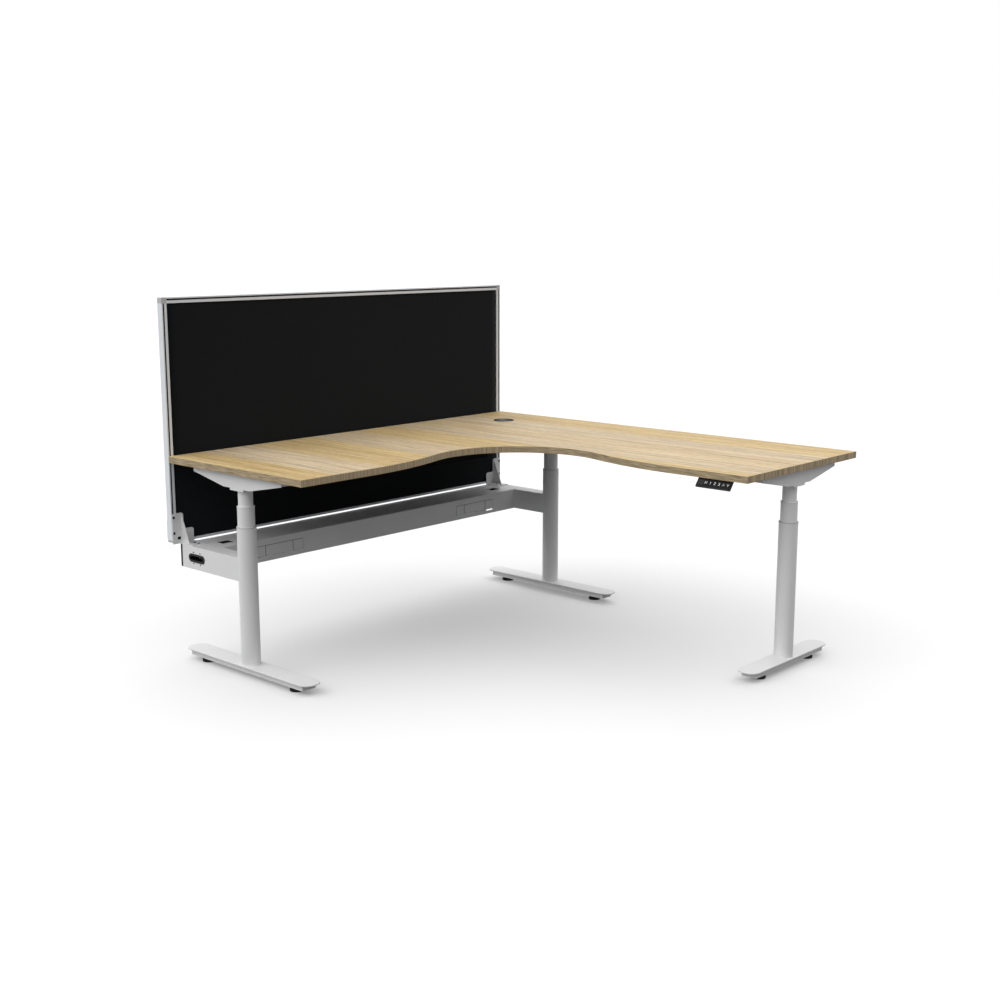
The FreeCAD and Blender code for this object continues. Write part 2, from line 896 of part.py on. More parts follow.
cap_radius = s.grommet_hole_radius - s.running_clearance - s.grommet_wall - s.slide_clearance
ring_bore = cap_radius + s.slide_clearance
ledge_bore = ring_bore - s.grommet_ledge_width
cap_seat = s.grommet_flange_thickness - s.cap_thickness
sleeve_radius = ring_bore + s.grommet_wall
sleeve_bottom = -s.grommet_sleeve_depth

grommet_ring = new_body("grommet_ring")
revolve(grommet_ring, [
    (ring_bore, s.grommet_flange_thickness),
    (s.grommet_flange_radius - s.grommet_flange_thickness / 2, s.grommet_flange_thickness),
    (s.grommet_flange_radius, s.grommet_flange_thickness / 2),
    (s.grommet_flange_radius, ZERO),
    (sleeve_radius, ZERO),
    (sleeve_radius, sleeve_bottom),
    (ring_bore, sleeve_bottom),
    (ring_bore, cap_seat - s.grommet_ledge_thickness),
    (ledge_bore, cap_seat - s.grommet_ledge_thickness),
    (ledge_bore, cap_seat),
    (ring_bore, cap_seat),
])
put(node(grommet_ring), corner_x - s.grommet_setback, corner_y - s.grommet_setback, desk_height)

grommet_cap = new_body("grommet_cap")
spigot_radius = ledge_bore - s.slide_clearance
revolve(grommet_cap, [
    (ZERO, cap_seat - s.cap_spigot_depth),
    (spigot_radius, cap_seat - s.cap_spigot_depth),
    (spigot_radius, cap_seat),
    (cap_radius, cap_seat),
    (cap_radius, s.grommet_flange_thickness),
    (ZERO, s.grommet_flange_thickness),
])
slot = sketch_on(grommet_cap, "XY_Plane", "slot", s.grommet_flange_thickness + s.overrun)
half_slot = s.cap_slot_width / 2
slot_end = cap_radius + s.overrun
outline(slot, [
    (slot_end, -half_slot),
    (slot_end, half_slot),
    (s.cap_slot_start + s.cap_slot_corner, half_slot),
    (s.cap_slot_start, half_slot - s.cap_slot_corner),
    (s.cap_slot_start, -(half_slot - s.cap_slot_corner)),
    (s.cap_slot_start + s.cap_slot_corner, -half_slot),
], {
    2: (s.cap_slot_start + s.cap_slot_corner, half_slot - s.cap_slot_corner, s.cap_slot_corner),
    4: (s.cap_slot_start + s.cap_slot_corner, -(half_slot - s.cap_slot_corner), s.cap_slot_corner),
})
pocket(grommet_cap, slot, s.overrun + s.cap_thickness + s.cap_spigot_depth + s.overrun)
put(node(grommet_cap), corner_x - s.grommet_setback, corner_y - s.grommet_setback, desk_height,
    turned(CAP_SLOT_DIRECTION))


# Rails that join the support arms under the board

def make_rail(label, length):
    """A channel that opens downwards and runs along its own X axis."""
    body = new_body(label)
    half = s.rail_width / 2
    inner = half - s.rail_wall
    section = sketch_on(body, "YZ_Plane", "section")
    outline(section, [
        (-half, ZERO),
        (-half, -s.rail_height),
        (-inner, -s.rail_height),
        (-inner, -s.rail_wall),
        (inner, -s.rail_wall),
        (inner, -s.rail_height),
        (half, -s.rail_height),
        (half, ZERO),
    ])
    pad(body, section, length)
    return body


left_column_x = column_places["left"][0]
corner_column_x = column_places["corner"][0]
right_column_y = column_places["right"][1]
half_support = s.support_width / 2
left_rail_length = corner_column_x - left_column_x - s.support_width
right_rail_top = corner_y - s.rail_far_setback - s.rail_width / 2
right_rail_length = right_rail_top - right_column_y - half_support
rails = []
for index, setback in enumerate((s.rail_near_setback, s.rail_far_setback), start=1):
    left_rail = make_rail(f"left_rail_{index}", left_rail_length)
    put(left_rail, left_column_x + half_support, corner_y - setback, board_underside)
    right_rail = make_rail(f"right_rail_{index}", right_rail_length)
    put(right_rail, corner_x - setback, right_rail_top, board_underside, turned(-QUARTER_TURN))
    rails += [left_rail, right_rail]
group("rails", rails)

# Control box under the left wing, with a row of sockets in its back

control_box = new_body("control_box")
case = sketch_on(control_box, "XY_Plane", "case")
rounded_rectangle(case, -s.control_length / 2, -s.control_depth, s.control_length / 2, ZERO,
                  s.control_corner)
pad(control_box, case, s.control_height, reverse=True)
sockets = sketch_on(control_box, "XZ_Plane", "sockets", -s.overrun)
socket_low = -(s.control_height + s.socket_height) / 2
for index in range(SOCKET_COUNT):
    middle = s.socket_pitch * (index - (SOCKET_COUNT - 1) / 2)
    rectangle(sockets, middle - s.socket_width / 2, socket_low,
              middle + s.socket_width / 2, socket_low + s.socket_height)
pocket(control_box, sockets, s.overrun + s.socket_depth, along_normal=True)
put(node(control_box), corner_x - s.desk_width / 2, corner_y - s.control_setback, board_underside)

# Keypad under the inner edge of the right wing: a sloping slab with a window and six keys

face_length = (s.keypad_face_drop * s.keypad_face_drop + s.keypad_face_run * s.keypad_face_run).root()
face_tilt = math.degrees(math.atan2(s.keypad_face_drop.value, s.keypad_face_run.value))
face_turn = FreeCAD.Rotation(FreeCAD.Vector(0, -1, 0), face_tilt)
keypad_x = corner_x - s.wing_depth
keypad_y = right_end_y + s.keypad_end_gap + s.keypad_length
face_top_x = s.keypad_recess
face_bottom_x = s.keypad_recess - s.keypad_face_run
face_bottom_z = -(s.keypad_brow + s.keypad_face_drop)
slab_low_x = face_bottom_x + s.keypad_thickness * s.keypad_face_drop / face_length
slab_low_z = face_bottom_z - s.keypad_thickness * s.keypad_face_run / face_length
neck_rise = -s.keypad_flange_thickness - slab_low_z
neck_x = slab_low_x + neck_rise * s.keypad_face_run / s.keypad_face_drop

handset = new_body("handset")
profile = sketch_on(handset, "XZ_Plane", "profile")
outline(profile, [
    (s.keypad_back, ZERO),
    (s.keypad_recess + s.keypad_brow, ZERO),
    (face_top_x, -s.keypad_brow),
    (face_bottom_x, face_bottom_z),
    (slab_low_x, slab_low_z),
    (neck_x, -s.keypad_flange_thickness),
    (s.keypad_back, -s.keypad_flange_thickness),
])
handset_pad = pad(handset, profile, s.keypad_length)


def end_corner(edge):
    """The short edges where the sloping face meets the two ends."""
    box = edge.BoundBox
    slopes = abs(box.XLength - s.keypad_face_run.value) < FIT
    return slopes and box.YLength < FIT and abs(box.ZLength - s.keypad_face_drop.value) < FIT


round_edges(handset, handset_pad, s.keypad_end_round, end_corner)


def face_sketch(body, name):
    """A sketch on the sloping face: X up the slope, Y along the desk's edge."""
    sketch = sketch_on(body, "XY_Plane", name)
    sketch.AttachmentOffset = FreeCAD.Placement(FreeCAD.Vector(0, 0, 0), face_turn)
    bind(sketch, "AttachmentOffset.Base.x", face_top_x)
    bind(sketch, "AttachmentOffset.Base.z", -s.keypad_brow)
    return sketch


key_row = -face_length / 2
key_places = [-(s.first_key + s.key_pitch * index) for index in range(KEY_COUNT)]
wells = face_sketch(handset, "wells")
half_well = s.key_size / 2 + s.slide_clearance
for along in key_places:
    rounded_rectangle(wells, key_row - half_well, along - half_well, key_row + half_well,
                      along + half_well, s.key_corner + s.slide_clearance)
pocket(handset, wells, s.key_well_depth)
window_well = face_sketch(handset, "window_well")
window_low_x = key_row - s.window_height / 2
window_high_x = key_row + s.window_height / 2
window_high_y = -s.window_margin
window_low_y = window_high_y - s.window_length
rectangle(window_well, window_low_x, window_low_y, window_high_x, window_high_y)
pocket(handset, window_well, s.window_thickness)
put(node(handset), keypad_x, keypad_y, board_underside)

keypad_window = new_body("keypad_window")
window = sketch_on(keypad_window, "XY_Plane", "window")
rectangle(window, window_low_x, window_low_y, window_high_x, window_high_y)
pad(keypad_window, window, s.window_thickness, reverse=True)
put(node(keypad_window), keypad_x + face_top_x, keypad_y, board_underside - s.keypad_brow, face_turn)

for index, along in enumerate(key_places, start=1):
    key = new_body(f"key_{index}")
    half_key = s.key_size / 2
    key_top = sketch_on(key, "XY_Plane", "top", s.key_proud)
    rounded_rectangle(key_top, key_row - half_key, -half_key, key_row + half_key, half_key,
                      s.key_corner)
    key_pad = pad(key, key_top, s.key_thickness, reverse=True)
    round_edges(key, key_pad, s.key_edge_round, level_edge(s.key_proud))
    put(node(key), keypad_x + face_top_x, keypad_y + along, board_underside - s.keypad_brow, face_turn)


# Side arms: sheet boxes from the columns back towards the screen, coped to the tubes

port_y = s.column_setback - s.port_setback
arm_length = s.column_setback - s.arm_back_gap - s.arm_cap_depth
passage_front = s.column_setback - s.arm_back_gap - s.beam_depth + s.passage_margin
passage_back = arm_length - s.passage_margin
sleeve_half_length = s.port_half_length - s.port_sleeve_step
port_sleeve_radius = s.port_radius - s.port_sleeve_step
arm_middle = s.arm_height / 2
flange_screw_x = (s.gusset_inset + s.bracket_thickness + s.bracket_foot_width) / 2
flange_screws = [s.flange_screw_start, s.flange_screw_start + s.flange_screw_pitch]


def make_side_arm(label, outward):
    """outward is the X direction, -1 or 1, of the face that carries the cable port."""
    body = new_body(label)
    half = s.arm_width / 2
    inner = half - s.sheet_wall
    box = sketch_on(body, "XZ_Plane", "box")
    rectangle(box, -half, ZERO, half, s.arm_height)
    rectangle(box, -inner, s.sheet_wall, inner, s.arm_height - s.sheet_wall)
    pad(body, box, arm_length, reverse=True)
    cope = sketch_on(body, "XY_Plane", "cope", -s.overrun)
    circle(cope, ZERO, ZERO, s.outer_tube_radius)
    pocket(body, cope, s.overrun + s.arm_height + s.overrun, along_normal=True)
    if outward > 0:
        start = half + s.overrun
        passage_start = s.overrun - inner
    else:
        start = s.overrun - inner
        passage_start = half + s.overrun
    port = sketch_on(body, "YZ_Plane", "port", start)
    obround(port, port_y, arm_middle, sleeve_half_length, port_sleeve_radius)
    pocket(body, port, s.overrun + s.sheet_wall + s.overrun)
    rivets = sketch_on(body, "YZ_Plane", "rivets", start)
    for along in (-1, 1):
        for up in (-1, 1):
            circle(rivets, port_y + s.port_rivet_reach * along, arm_middle + s.port_rivet_rise * up,
                   s.rivet_radius)
    pocket(body, rivets, s.overrun + s.sheet_wall + s.overrun)
    passage = sketch_on(body, "YZ_Plane", "passage", passage_start)
    rectangle(passage, passage_front, s.passage_margin, passage_back, s.arm_height - s.passage_margin)
    pocket(body, passage, s.overrun + s.sheet_wall + s.overrun)
    bolt_holes = sketch_on(body, "XY_Plane", "bolt_holes", s.arm_height + s.overrun)
    bolt_x = (flange_screw_x - s.column_inset + s.bracket_edge_gap) * -outward
    for setback in flange_screws:
        circle(bolt_holes, bolt_x, s.column_setback + s.screen_gap - setback, s.frame_screw_radius)
    pocket(body, bolt_holes, s.overrun + s.sheet_wall + s.overrun)
    return node(body)


arm_columns = {"left": -1, "right": 1}
arm_places = {"left": column_places["left"], "right": column_places["corner"]}
for name, outward in arm_columns.items():
    x, y, turn = arm_places[name]
    put(make_side_arm(f"side_arm_{name}", outward), x, y, arm_bottom)

# Arm fittings: a rimmed cable port in each side arm's outer face and a cap in its far end

port_master = new_body("port")
rim = sketch_on(port_master, "XY_Plane", "rim")
obround(rim, ZERO, ZERO, s.port_half_length, s.port_radius)
pad(port_master, rim, s.port_flange_thickness)
sleeve = sketch_on(port_master, "XY_Plane", "sleeve")
obround(sleeve, ZERO, ZERO, sleeve_half_length, port_sleeve_radius)
pad(port_master, sleeve, s.port_sleeve_depth, reverse=True)
port_bore = sketch_on(port_master, "XY_Plane", "bore", s.port_flange_thickness + s.overrun)
obround(port_bore, ZERO, ZERO, sleeve_half_length - s.port_wall, port_sleeve_radius - s.port_wall)
pocket(port_master, port_bore, s.overrun * 2 + s.port_flange_thickness + s.port_sleeve_depth)

arm_cap = new_body("arm_cap")
cap_face = sketch_on(arm_cap, "XZ_Plane", "face")
half_arm = s.arm_width / 2
rounded_rectangle(cap_face, -half_arm, ZERO, half_arm, s.arm_height, s.arm_cap_round)
pad(arm_cap, cap_face, s.arm_cap_depth, reverse=True)
cap_spigot = sketch_on(arm_cap, "XZ_Plane", "spigot")
for inset in (s.sheet_wall + s.panel_clearance, s.sheet_wall * 2 + s.panel_clearance):
    rectangle(cap_spigot, inset - half_arm, inset, half_arm - inset, s.arm_height - inset)
pad(arm_cap, cap_spigot, s.arm_spigot_depth)

arm_fittings = []
for name, outward in arm_columns.items():
    x, y, turn = arm_places[name]
    port_link = copy_of(port_master, f"port_{name}")
    facing = axes((0, -outward, 0), (0, 0, -1), (outward, 0, 0))
    put(port_link, x + half_arm * outward, y + port_y, arm_bottom + arm_middle, facing)
    cap_link = copy_of(arm_cap, f"cap_{name}")
    put(cap_link, x, y + arm_length, arm_bottom)
    arm_fittings += [port_link, cap_link]
group("arm_fittings", arm_fittings)

# Cable beam: a sheet duct between the side arms, open below and above between its ties

beam_start_x = left_column_x + s.arm_width / 2
beam_length = corner_column_x - left_column_x - s.arm_width
beam_height = s.arm_height - s.sheet_wall
window_low = s.arm_height - s.knockout_drop - s.knockout_height
window_high = s.arm_height - s.knockout_drop
knockout_starts = [s.knockout_inset, beam_length - s.knockout_inset - s.knockout_length]

beam = new_body("beam")
duct = sketch_on(beam, "YZ_Plane", "duct")
rectangle(duct, -s.beam_depth, ZERO, ZERO, beam_height)
rectangle(duct, s.sheet_wall - s.beam_depth, s.sheet_wall, -s.sheet_wall, beam_height - s.sheet_wall)
pad(beam, duct, beam_length)
for name, offset in (("left_end", ZERO), ("right_end", beam_length - s.sheet_wall)):
    end = sketch_on(beam, "YZ_Plane", name, offset)
    rectangle(end, -s.beam_depth, ZERO, ZERO, beam_height)
    rectangle(end, s.passage_margin - s.beam_depth, s.passage_margin, -s.passage_margin,
              s.arm_height - s.passage_margin)
    pad(beam, end, s.sheet_wall)
bay_pitch = (beam_length + s.beam_tie_width) / BAY_COUNT
bays = sketch_on(beam, "XY_Plane", "bays", beam_height + s.overrun)
for index in range(BAY_COUNT):
    bay_start = bay_pitch * index + s.sheet_wall if index == 0 else bay_pitch * index
    bay_end = bay_pitch * (index + 1) - s.beam_tie_width
    bay_end = bay_end - s.sheet_wall if index == BAY_COUNT - 1 else bay_end
    rectangle(bays, bay_start + s.beam_lip, s.beam_lip - s.beam_depth, bay_end - s.beam_lip, -s.beam_lip)
pocket(beam, bays, s.overrun + beam_height + s.overrun)
windows = sketch_on(beam, "XZ_Plane", "windows", s.beam_depth + s.overrun)
for start in knockout_starts:
    rectangle(windows, start, window_low, start + s.knockout_length, window_high)
pocket(beam, windows, s.overrun + s.sheet_wall + s.overrun)
pry_slot = sketch_on(beam, "XZ_Plane", "pry_slot", s.beam_depth + s.overrun)
pry_slot_end = knockout_starts[-1] + s.knockout_length
rectangle(pry_slot, pry_slot_end - s.pry_slot_length, window_low - s.pry_slot_height, pry_slot_end,
          window_low + s.overrun)
pocket(beam, pry_slot, s.overrun + s.sheet_wall + s.overrun)
put(node(beam), beam_start_x, corner_y - s.arm_back_gap, arm_bottom)

beam_lid = new_body("beam_lid")
lid = sketch_on(beam_lid, "XY_Plane", "lid")
rectangle(lid, ZERO, -s.beam_depth, beam_length, ZERO)
half_hole_x = s.lid_hole_length / 2
half_hole_y = s.lid_hole_width / 2
for middle in (s.lid_hole_inset, beam_length - s.lid_hole_inset):
    rounded_rectangle(lid, middle - half_hole_x, -(s.lid_hole_setback + half_hole_y),
                      middle + half_hole_x, half_hole_y - s.lid_hole_setback, s.lid_hole_corner)
pad(beam_lid, lid, s.sheet_wall)
put(node(beam_lid), beam_start_x, corner_y - s.arm_back_gap, arm_bottom + beam_height)

# Knock-out plates: scored into three segments, held behind the window by a flange

knockout = new_body("knockout")
face = sketch_on(knockout, "XZ_Plane", "face")
rectangle(face, s.knockout_gap, s.knockout_gap, s.knockout_length - s.knockout_gap,
          s.knockout_height - s.knockout_gap)
pad(knockout, face, s.sheet_wall, reverse=True)
flange = sketch_on(knockout, "XZ_Plane", "flange", -s.sheet_wall)
rectangle(flange, -s.knockout_flange, s.panel_clearance, s.knockout_length + s.knockout_flange,
          s.knockout_height + s.knockout_flange)
pad(knockout, flange, s.knockout_flange_thickness, reverse=True)
scores = sketch_on(knockout, "XZ_Plane", "scores", s.overrun)
for middle in (s.knockout_end_length, s.knockout_length - s.knockout_end_length):
    rectangle(scores, middle - s.knockout_score_width / 2, -s.overrun,
              middle + s.knockout_score_width / 2, s.knockout_height + s.overrun)
pocket(knockout, scores, s.overrun + s.knockout_score_depth)
knockouts = []
for index, start in enumerate(knockout_starts, start=1):
    link = copy_of(knockout, f"knockout_{index}")
    put(link, beam_start_x + start, corner_y - s.arm_back_gap - s.beam_depth, arm_bottom + window_low)
    knockouts.append(link)
group("knockouts", knockouts)

# Screen frame: three slotted bars and a low bottom channel, butted against corner blocks

screen_front_y = corner_y + s.screen_gap
screen_back_y = screen_front_y + s.screen_thickness
screen_bottom = s.beam_top_height + s.screen_lift
screen_top = screen_bottom + s.screen_height
channel_floor = s.bar_face - s.bar_channel_depth
bracket_screws = {"upper": s.bracket_upper_screw, "lower": s.bracket_lower_screw}
screen_screw_x = s.bracket_edge_gap + s.bracket_screw_inset


def bar_section(sketch):
    """X runs inwards from the screen's outer edge, Y from its front face to its back."""
    back = s.screen_thickness
    outline(sketch, [
        (ZERO, ZERO),
        (s.bar_lip, ZERO),
        (s.bar_lip, s.bar_groove_depth),
        (s.bar_groove_end, s.bar_groove_depth),
        (s.bar_groove_end, ZERO),
        (s.bar_face, ZERO),
        (s.bar_face, s.bar_channel_wall),
        (channel_floor, s.bar_channel_wall),
        (channel_floor, back - s.bar_channel_wall),
        (s.bar_face, back - s.bar_channel_wall),
        (s.bar_face, back),
        (s.bar_groove_end, back),
        (s.bar_groove_end, back - s.bar_groove_depth),
        (s.bar_lip, back - s.bar_groove_depth),
        (s.bar_lip, back),
        (ZERO, back),
    ])


chamber_low_x = s.bar_chamber_wall
chamber_high_x = channel_floor - s.bar_chamber_wall
chamber_low_y = s.bar_groove_depth + s.bar_chamber_wall
chamber_high_y = s.screen_thickness - chamber_low_y


def make_bar(label, length):
    body = new_body(label)
    section = sketch_on(body, "XY_Plane", "section")
    bar_section(section)
    rectangle(section, chamber_low_x, chamber_low_y, chamber_high_x, chamber_high_y)
    pad(body, section, length)
    return body


rail_length = s.desk_width - s.bar_face * 2
post_length = s.screen_height - s.bar_face - s.low_bar_face
rail_x = left_end_x + s.bar_face
post_z = screen_bottom + s.low_bar_face
put(node(make_bar("screen_rail_top", rail_length)), rail_x, screen_front_y, screen_top,
    axes((0, 0, -1), (0, 1, 0), (1, 0, 0)))

screen_rail_bottom = new_body("screen_rail_bottom")
low_section = sketch_on(screen_rail_bottom, "XY_Plane", "section")
far_wall = s.screen_thickness - s.bar_channel_wall
outline(low_section, [
    (ZERO, ZERO),
    (s.low_bar_face, ZERO),
    (s.low_bar_face, s.bar_channel_wall),
    (s.low_bar_floor, s.bar_channel_wall),
    (s.low_bar_floor, far_wall),
    (s.low_bar_face, far_wall),
    (s.low_bar_face, s.screen_thickness),
    (ZERO, s.screen_thickness),
])
pad(screen_rail_bottom, low_section, rail_length)
put(node(screen_rail_bottom), rail_x, screen_back_y, screen_bottom, axes((0, 0, 1), (0, -1, 0), (1, 0, 0)))

for name, x, y, turn in (("left", left_end_x, screen_front_y, 0),
                         ("right", corner_x, screen_back_y, HALF_TURN)):
    screen_post = make_bar(f"screen_post_{name}", post_length)
    screw_holes = sketch_on(screen_post, "XZ_Plane", "screw_holes", s.overrun)
    for rise in bracket_screws.values():
        circle(screw_holes, screen_screw_x, rise - s.screen_lift - s.low_bar_face, s.frame_screw_radius)
    pocket(screen_post, screw_holes, s.overrun + s.screen_thickness + s.overrun)
    put(node(screen_post), x, y, post_z, turned(turn))

# Upper corner blocks with a spigot into each bar

corner_block = new_body("corner_block")
block = sketch_on(corner_block, "XZ_Plane", "block")
outline(block, [
    (s.corner_round, ZERO),
    (s.bar_face, ZERO),
    (s.bar_face, s.bar_face),
    (ZERO, s.bar_face),
    (ZERO, s.corner_round),
], {4: (s.corner_round, s.corner_round, s.corner_round)})
pad(corner_block, block, s.screen_thickness, reverse=True)
spigots = sketch_on(corner_block, "XZ_Plane", "spigots", -(chamber_low_y + s.panel_clearance))
spigot_low = chamber_low_x + s.panel_clearance
spigot_high = chamber_high_x - s.panel_clearance
spigot_end = s.bar_face + s.corner_spigot_length
outline(spigots, [
    (spigot_low, spigot_low),
    (spigot_end, spigot_low),
    (spigot_end, spigot_high),
    (spigot_high, spigot_high),
    (spigot_high, spigot_end),
    (spigot_low, spigot_end),
])
spigot_depth = chamber_high_y - chamber_low_y - s.panel_clearance * 2
pad(corner_block, spigots, spigot_depth, reverse=True)
panel_notch = sketch_on(corner_block, "XZ_Plane", "panel_notch", -s.bar_channel_wall)
rectangle(panel_notch, channel_floor, channel_floor, s.bar_face + s.overrun, s.bar_face + s.overrun)
pocket(corner_block, panel_notch, s.screen_thickness - s.bar_channel_wall * 2)

# Lower corner blocks with a spigot into the post above

low_corner = new_body("low_corner")
low_block = sketch_on(low_corner, "XZ_Plane", "block")
outline(low_block, [
    (s.corner_round, ZERO),
    (s.bar_face, ZERO),
    (s.bar_face, s.low_bar_face),
    (ZERO, s.low_bar_face),
    (ZERO, s.corner_round),
], {4: (s.corner_round, s.corner_round, s.corner_round)})
pad(low_corner, low_block, s.screen_thickness, reverse=True)
low_spigot = sketch_on(low_corner, "XZ_Plane", "spigot", -(chamber_low_y + s.panel_clearance))
rectangle(low_spigot, spigot_low, spigot_low, spigot_high, s.low_bar_face + s.corner_spigot_length)
pad(low_corner, low_spigot, spigot_depth, reverse=True)
low_notch = sketch_on(low_corner, "XZ_Plane", "panel_notch", -s.bar_channel_wall)
rectangle(low_notch, channel_floor, s.low_bar_floor, s.bar_face + s.overrun, s.low_bar_face + s.overrun)
pocket(low_corner, low_notch, s.screen_thickness - s.bar_channel_wall * 2)

corners = []
corner_places = {
    "bottom_left": (left_end_x, screen_front_y, screen_bottom, axes((1, 0, 0), (0, 1, 0), (0, 0, 1))),
    "bottom_right": (corner_x, screen_back_y, screen_bottom, axes((-1, 0, 0), (0, -1, 0), (0, 0, 1))),
    "top_left": (left_end_x, screen_back_y, screen_top, axes((1, 0, 0), (0, -1, 0), (0, 0, -1))),
    "top_right": (corner_x, screen_front_y, screen_top, axes((-1, 0, 0), (0, 1, 0), (0, 0, -1))),
}
for name, (x, y, z, rotation) in corner_places.items():
    link = copy_of(corner_block if name.startswith("top") else low_corner, f"corner_{name}")
    put(link, x, y, z, rotation)
    corners.append(link)
group("screen_corners", corners)

# Screen panel: a board in a fabric sleeve, held in the bars' channels

fabric_edge = channel_floor + s.panel_clearance
core_edge = fabric_edge + s.fabric_thickness
low_fabric_edge = s.low_bar_floor + s.panel_clearance
low_core_edge = low_fabric_edge + s.fabric_thickness
panel_width = s.desk_width - core_edge * 2
half_core = s.core_thickness / 2
half_wrap = half_core + s.fabric_thickness
screen_middle_y = screen_front_y + s.screen_thickness / 2

screen_core = new_body("screen_core")
core = sketch_on(screen_core, "YZ_Plane", "core")
rectangle(core, -half_core, low_core_edge, half_core, s.screen_height - core_edge)
pad(screen_core, core, panel_width)
put(node(screen_core), left_end_x + core_edge, screen_middle_y, screen_bottom)

screen_fabric = new_body("screen_fabric")
wrap = sketch_on(screen_fabric, "YZ_Plane", "wrap")
rectangle(wrap, -half_wrap, low_fabric_edge, half_wrap, s.screen_height - fabric_edge)
rectangle(wrap, -half_core, low_core_edge, half_core, s.screen_height - core_edge)
pad(screen_fabric, wrap, panel_width)
put(node(screen_fabric), left_end_x + core_edge, screen_middle_y, screen_bottom)


# Screen brackets: a stepped back plate, a flange on the side arm and a gusset between them

def make_bracket(label, inward):
    """inward is the X direction, 1 or -1, from the screen's end to its middle."""
    body = new_body(label)
    foot_x = s.bracket_foot_width * inward
    neck_x = s.bracket_neck_width * inward
    corner = s.bracket_corner * inward
    radius = s.bracket_corner
    step = s.bracket_foot_height
    top = s.bracket_height
    plate = sketch_on(body, "XZ_Plane", "plate")
    outline(plate, [
        (ZERO, ZERO),
        (foot_x, ZERO),
        (foot_x, step - radius),
        (foot_x - corner, step),
        (neck_x + corner, step),
        (neck_x, step + radius),
        (neck_x, top - radius),
        (neck_x - corner, top),
        (corner, top),
        (ZERO, top - radius),
    ], {
        2: (foot_x - corner, step - radius, radius),
        4: (neck_x + corner, step + radius, radius),
        6: (neck_x - corner, top - radius, radius),
        8: (corner, top - radius, radius),
    })
    screw_x = s.bracket_screw_inset * inward
    for rise in bracket_screws.values():
        circle(plate, screw_x, rise, s.frame_screw_radius)
    window_x = s.bracket_window_inset * inward
    rectangle(plate, window_x, s.bracket_window_rise, window_x + s.bracket_window_width * inward,
              s.bracket_window_rise + s.bracket_window_height)
    pad(body, plate, s.bracket_thickness)
    flange_start = (s.column_inset - s.arm_width / 2 - s.bracket_edge_gap) * inward
    flange = sketch_on(body, "XY_Plane", "flange")
    rectangle(flange, flange_start, -s.bracket_flange_depth, foot_x, -s.bracket_thickness)
    for setback in flange_screws:
        circle(flange, flange_screw_x * inward, -setback, s.frame_screw_radius)
    pad(body, flange, s.bracket_thickness)
    gusset_offset = s.gusset_inset if inward > 0 else -(s.gusset_inset + s.bracket_thickness)
    gusset = sketch_on(body, "YZ_Plane", "gusset", gusset_offset)
    outline(gusset, [
        (-s.bracket_thickness, s.bracket_thickness),
        (-(s.bracket_thickness + s.gusset_depth), s.bracket_thickness),
        (-s.bracket_thickness, s.bracket_thickness + s.gusset_rise),
    ])
    pad(body, gusset, s.bracket_thickness)
    return node(body)


bracket_ends = {
    "left": (left_end_x, 1),
    "right": (corner_x, -1),
}
for name, (x, inward) in bracket_ends.items():
    bracket = make_bracket(f"bracket_{name}", inward)
    put(bracket, x + s.bracket_edge_gap * inward, screen_front_y, s.beam_top_height)

# Clamp plates behind the screen

clamp = new_body("clamp")
clamp_face = sketch_on(clamp, "XZ_Plane", "face")
rectangle(clamp_face, -s.clamp_width / 2, s.clamp_rise, s.clamp_width / 2,
          s.clamp_rise + s.clamp_height)
clamp_hole_x = s.clamp_width / 2 - screen_screw_x
circle(clamp_face, -clamp_hole_x, s.bracket_lower_screw, s.frame_screw_radius)
pad(clamp, clamp_face, s.clamp_thickness, reverse=True)
mirror_clamp = new_body("mirror_clamp")
mirror_face = sketch_on(mirror_clamp, "XZ_Plane", "face")
rectangle(mirror_face, -s.clamp_width / 2, s.clamp_rise, s.clamp_width / 2,
          s.clamp_rise + s.clamp_height)
circle(mirror_face, clamp_hole_x, s.bracket_lower_screw, s.frame_screw_radius)
pad(mirror_clamp, mirror_face, s.clamp_thickness, reverse=True)
put(clamp, left_end_x + s.clamp_width / 2, screen_back_y, s.beam_top_height)
put(mirror_clamp, corner_x - s.clamp_width / 2, screen_back_y, s.beam_top_height)
group("clamp_plates", [clamp, mirror_clamp])


# Frame screws: bolts of the brackets, rivets of the ports and nuts under the feet

def make_screw(label, length, through=False):
    """A pan head above Z zero and a shank below it; a through bolt has a head at both ends."""
    body = new_body(label)
    head = s.frame_screw_head_radius
    height = s.frame_screw_head_height
    shank = s.frame_screw_radius
    end = -length
    points = [
        (ZERO, height),
        (head / 2, height),
        (head, height / 2),
        (head, ZERO),
        (shank, ZERO),
        (shank, end),
    ]
    if through:
        points += [
            (head, end),
            (head, end - height / 2),
            (head / 2, end - height),
            (ZERO, end - height),
        ]
    else:
        points += [(ZERO, end)]
    revolve(body, points)
    return body


short_screw = make_screw("short_screw", s.frame_screw_length)
clamp_bolt_length = s.bracket_thickness + s.screen_thickness + s.clamp_thickness
clamp_bolt = make_screw("clamp_bolt", clamp_bolt_length, through=True)
rivet = new_body("rivet")
revolve(rivet, [
    (ZERO, s.rivet_head_height),
    (s.rivet_head_radius / 2, s.rivet_head_height),
    (s.rivet_head_radius, ZERO),
    (s.rivet_radius, ZERO),
    (s.rivet_radius, -s.sheet_wall),
    (ZERO, -s.sheet_wall),
])

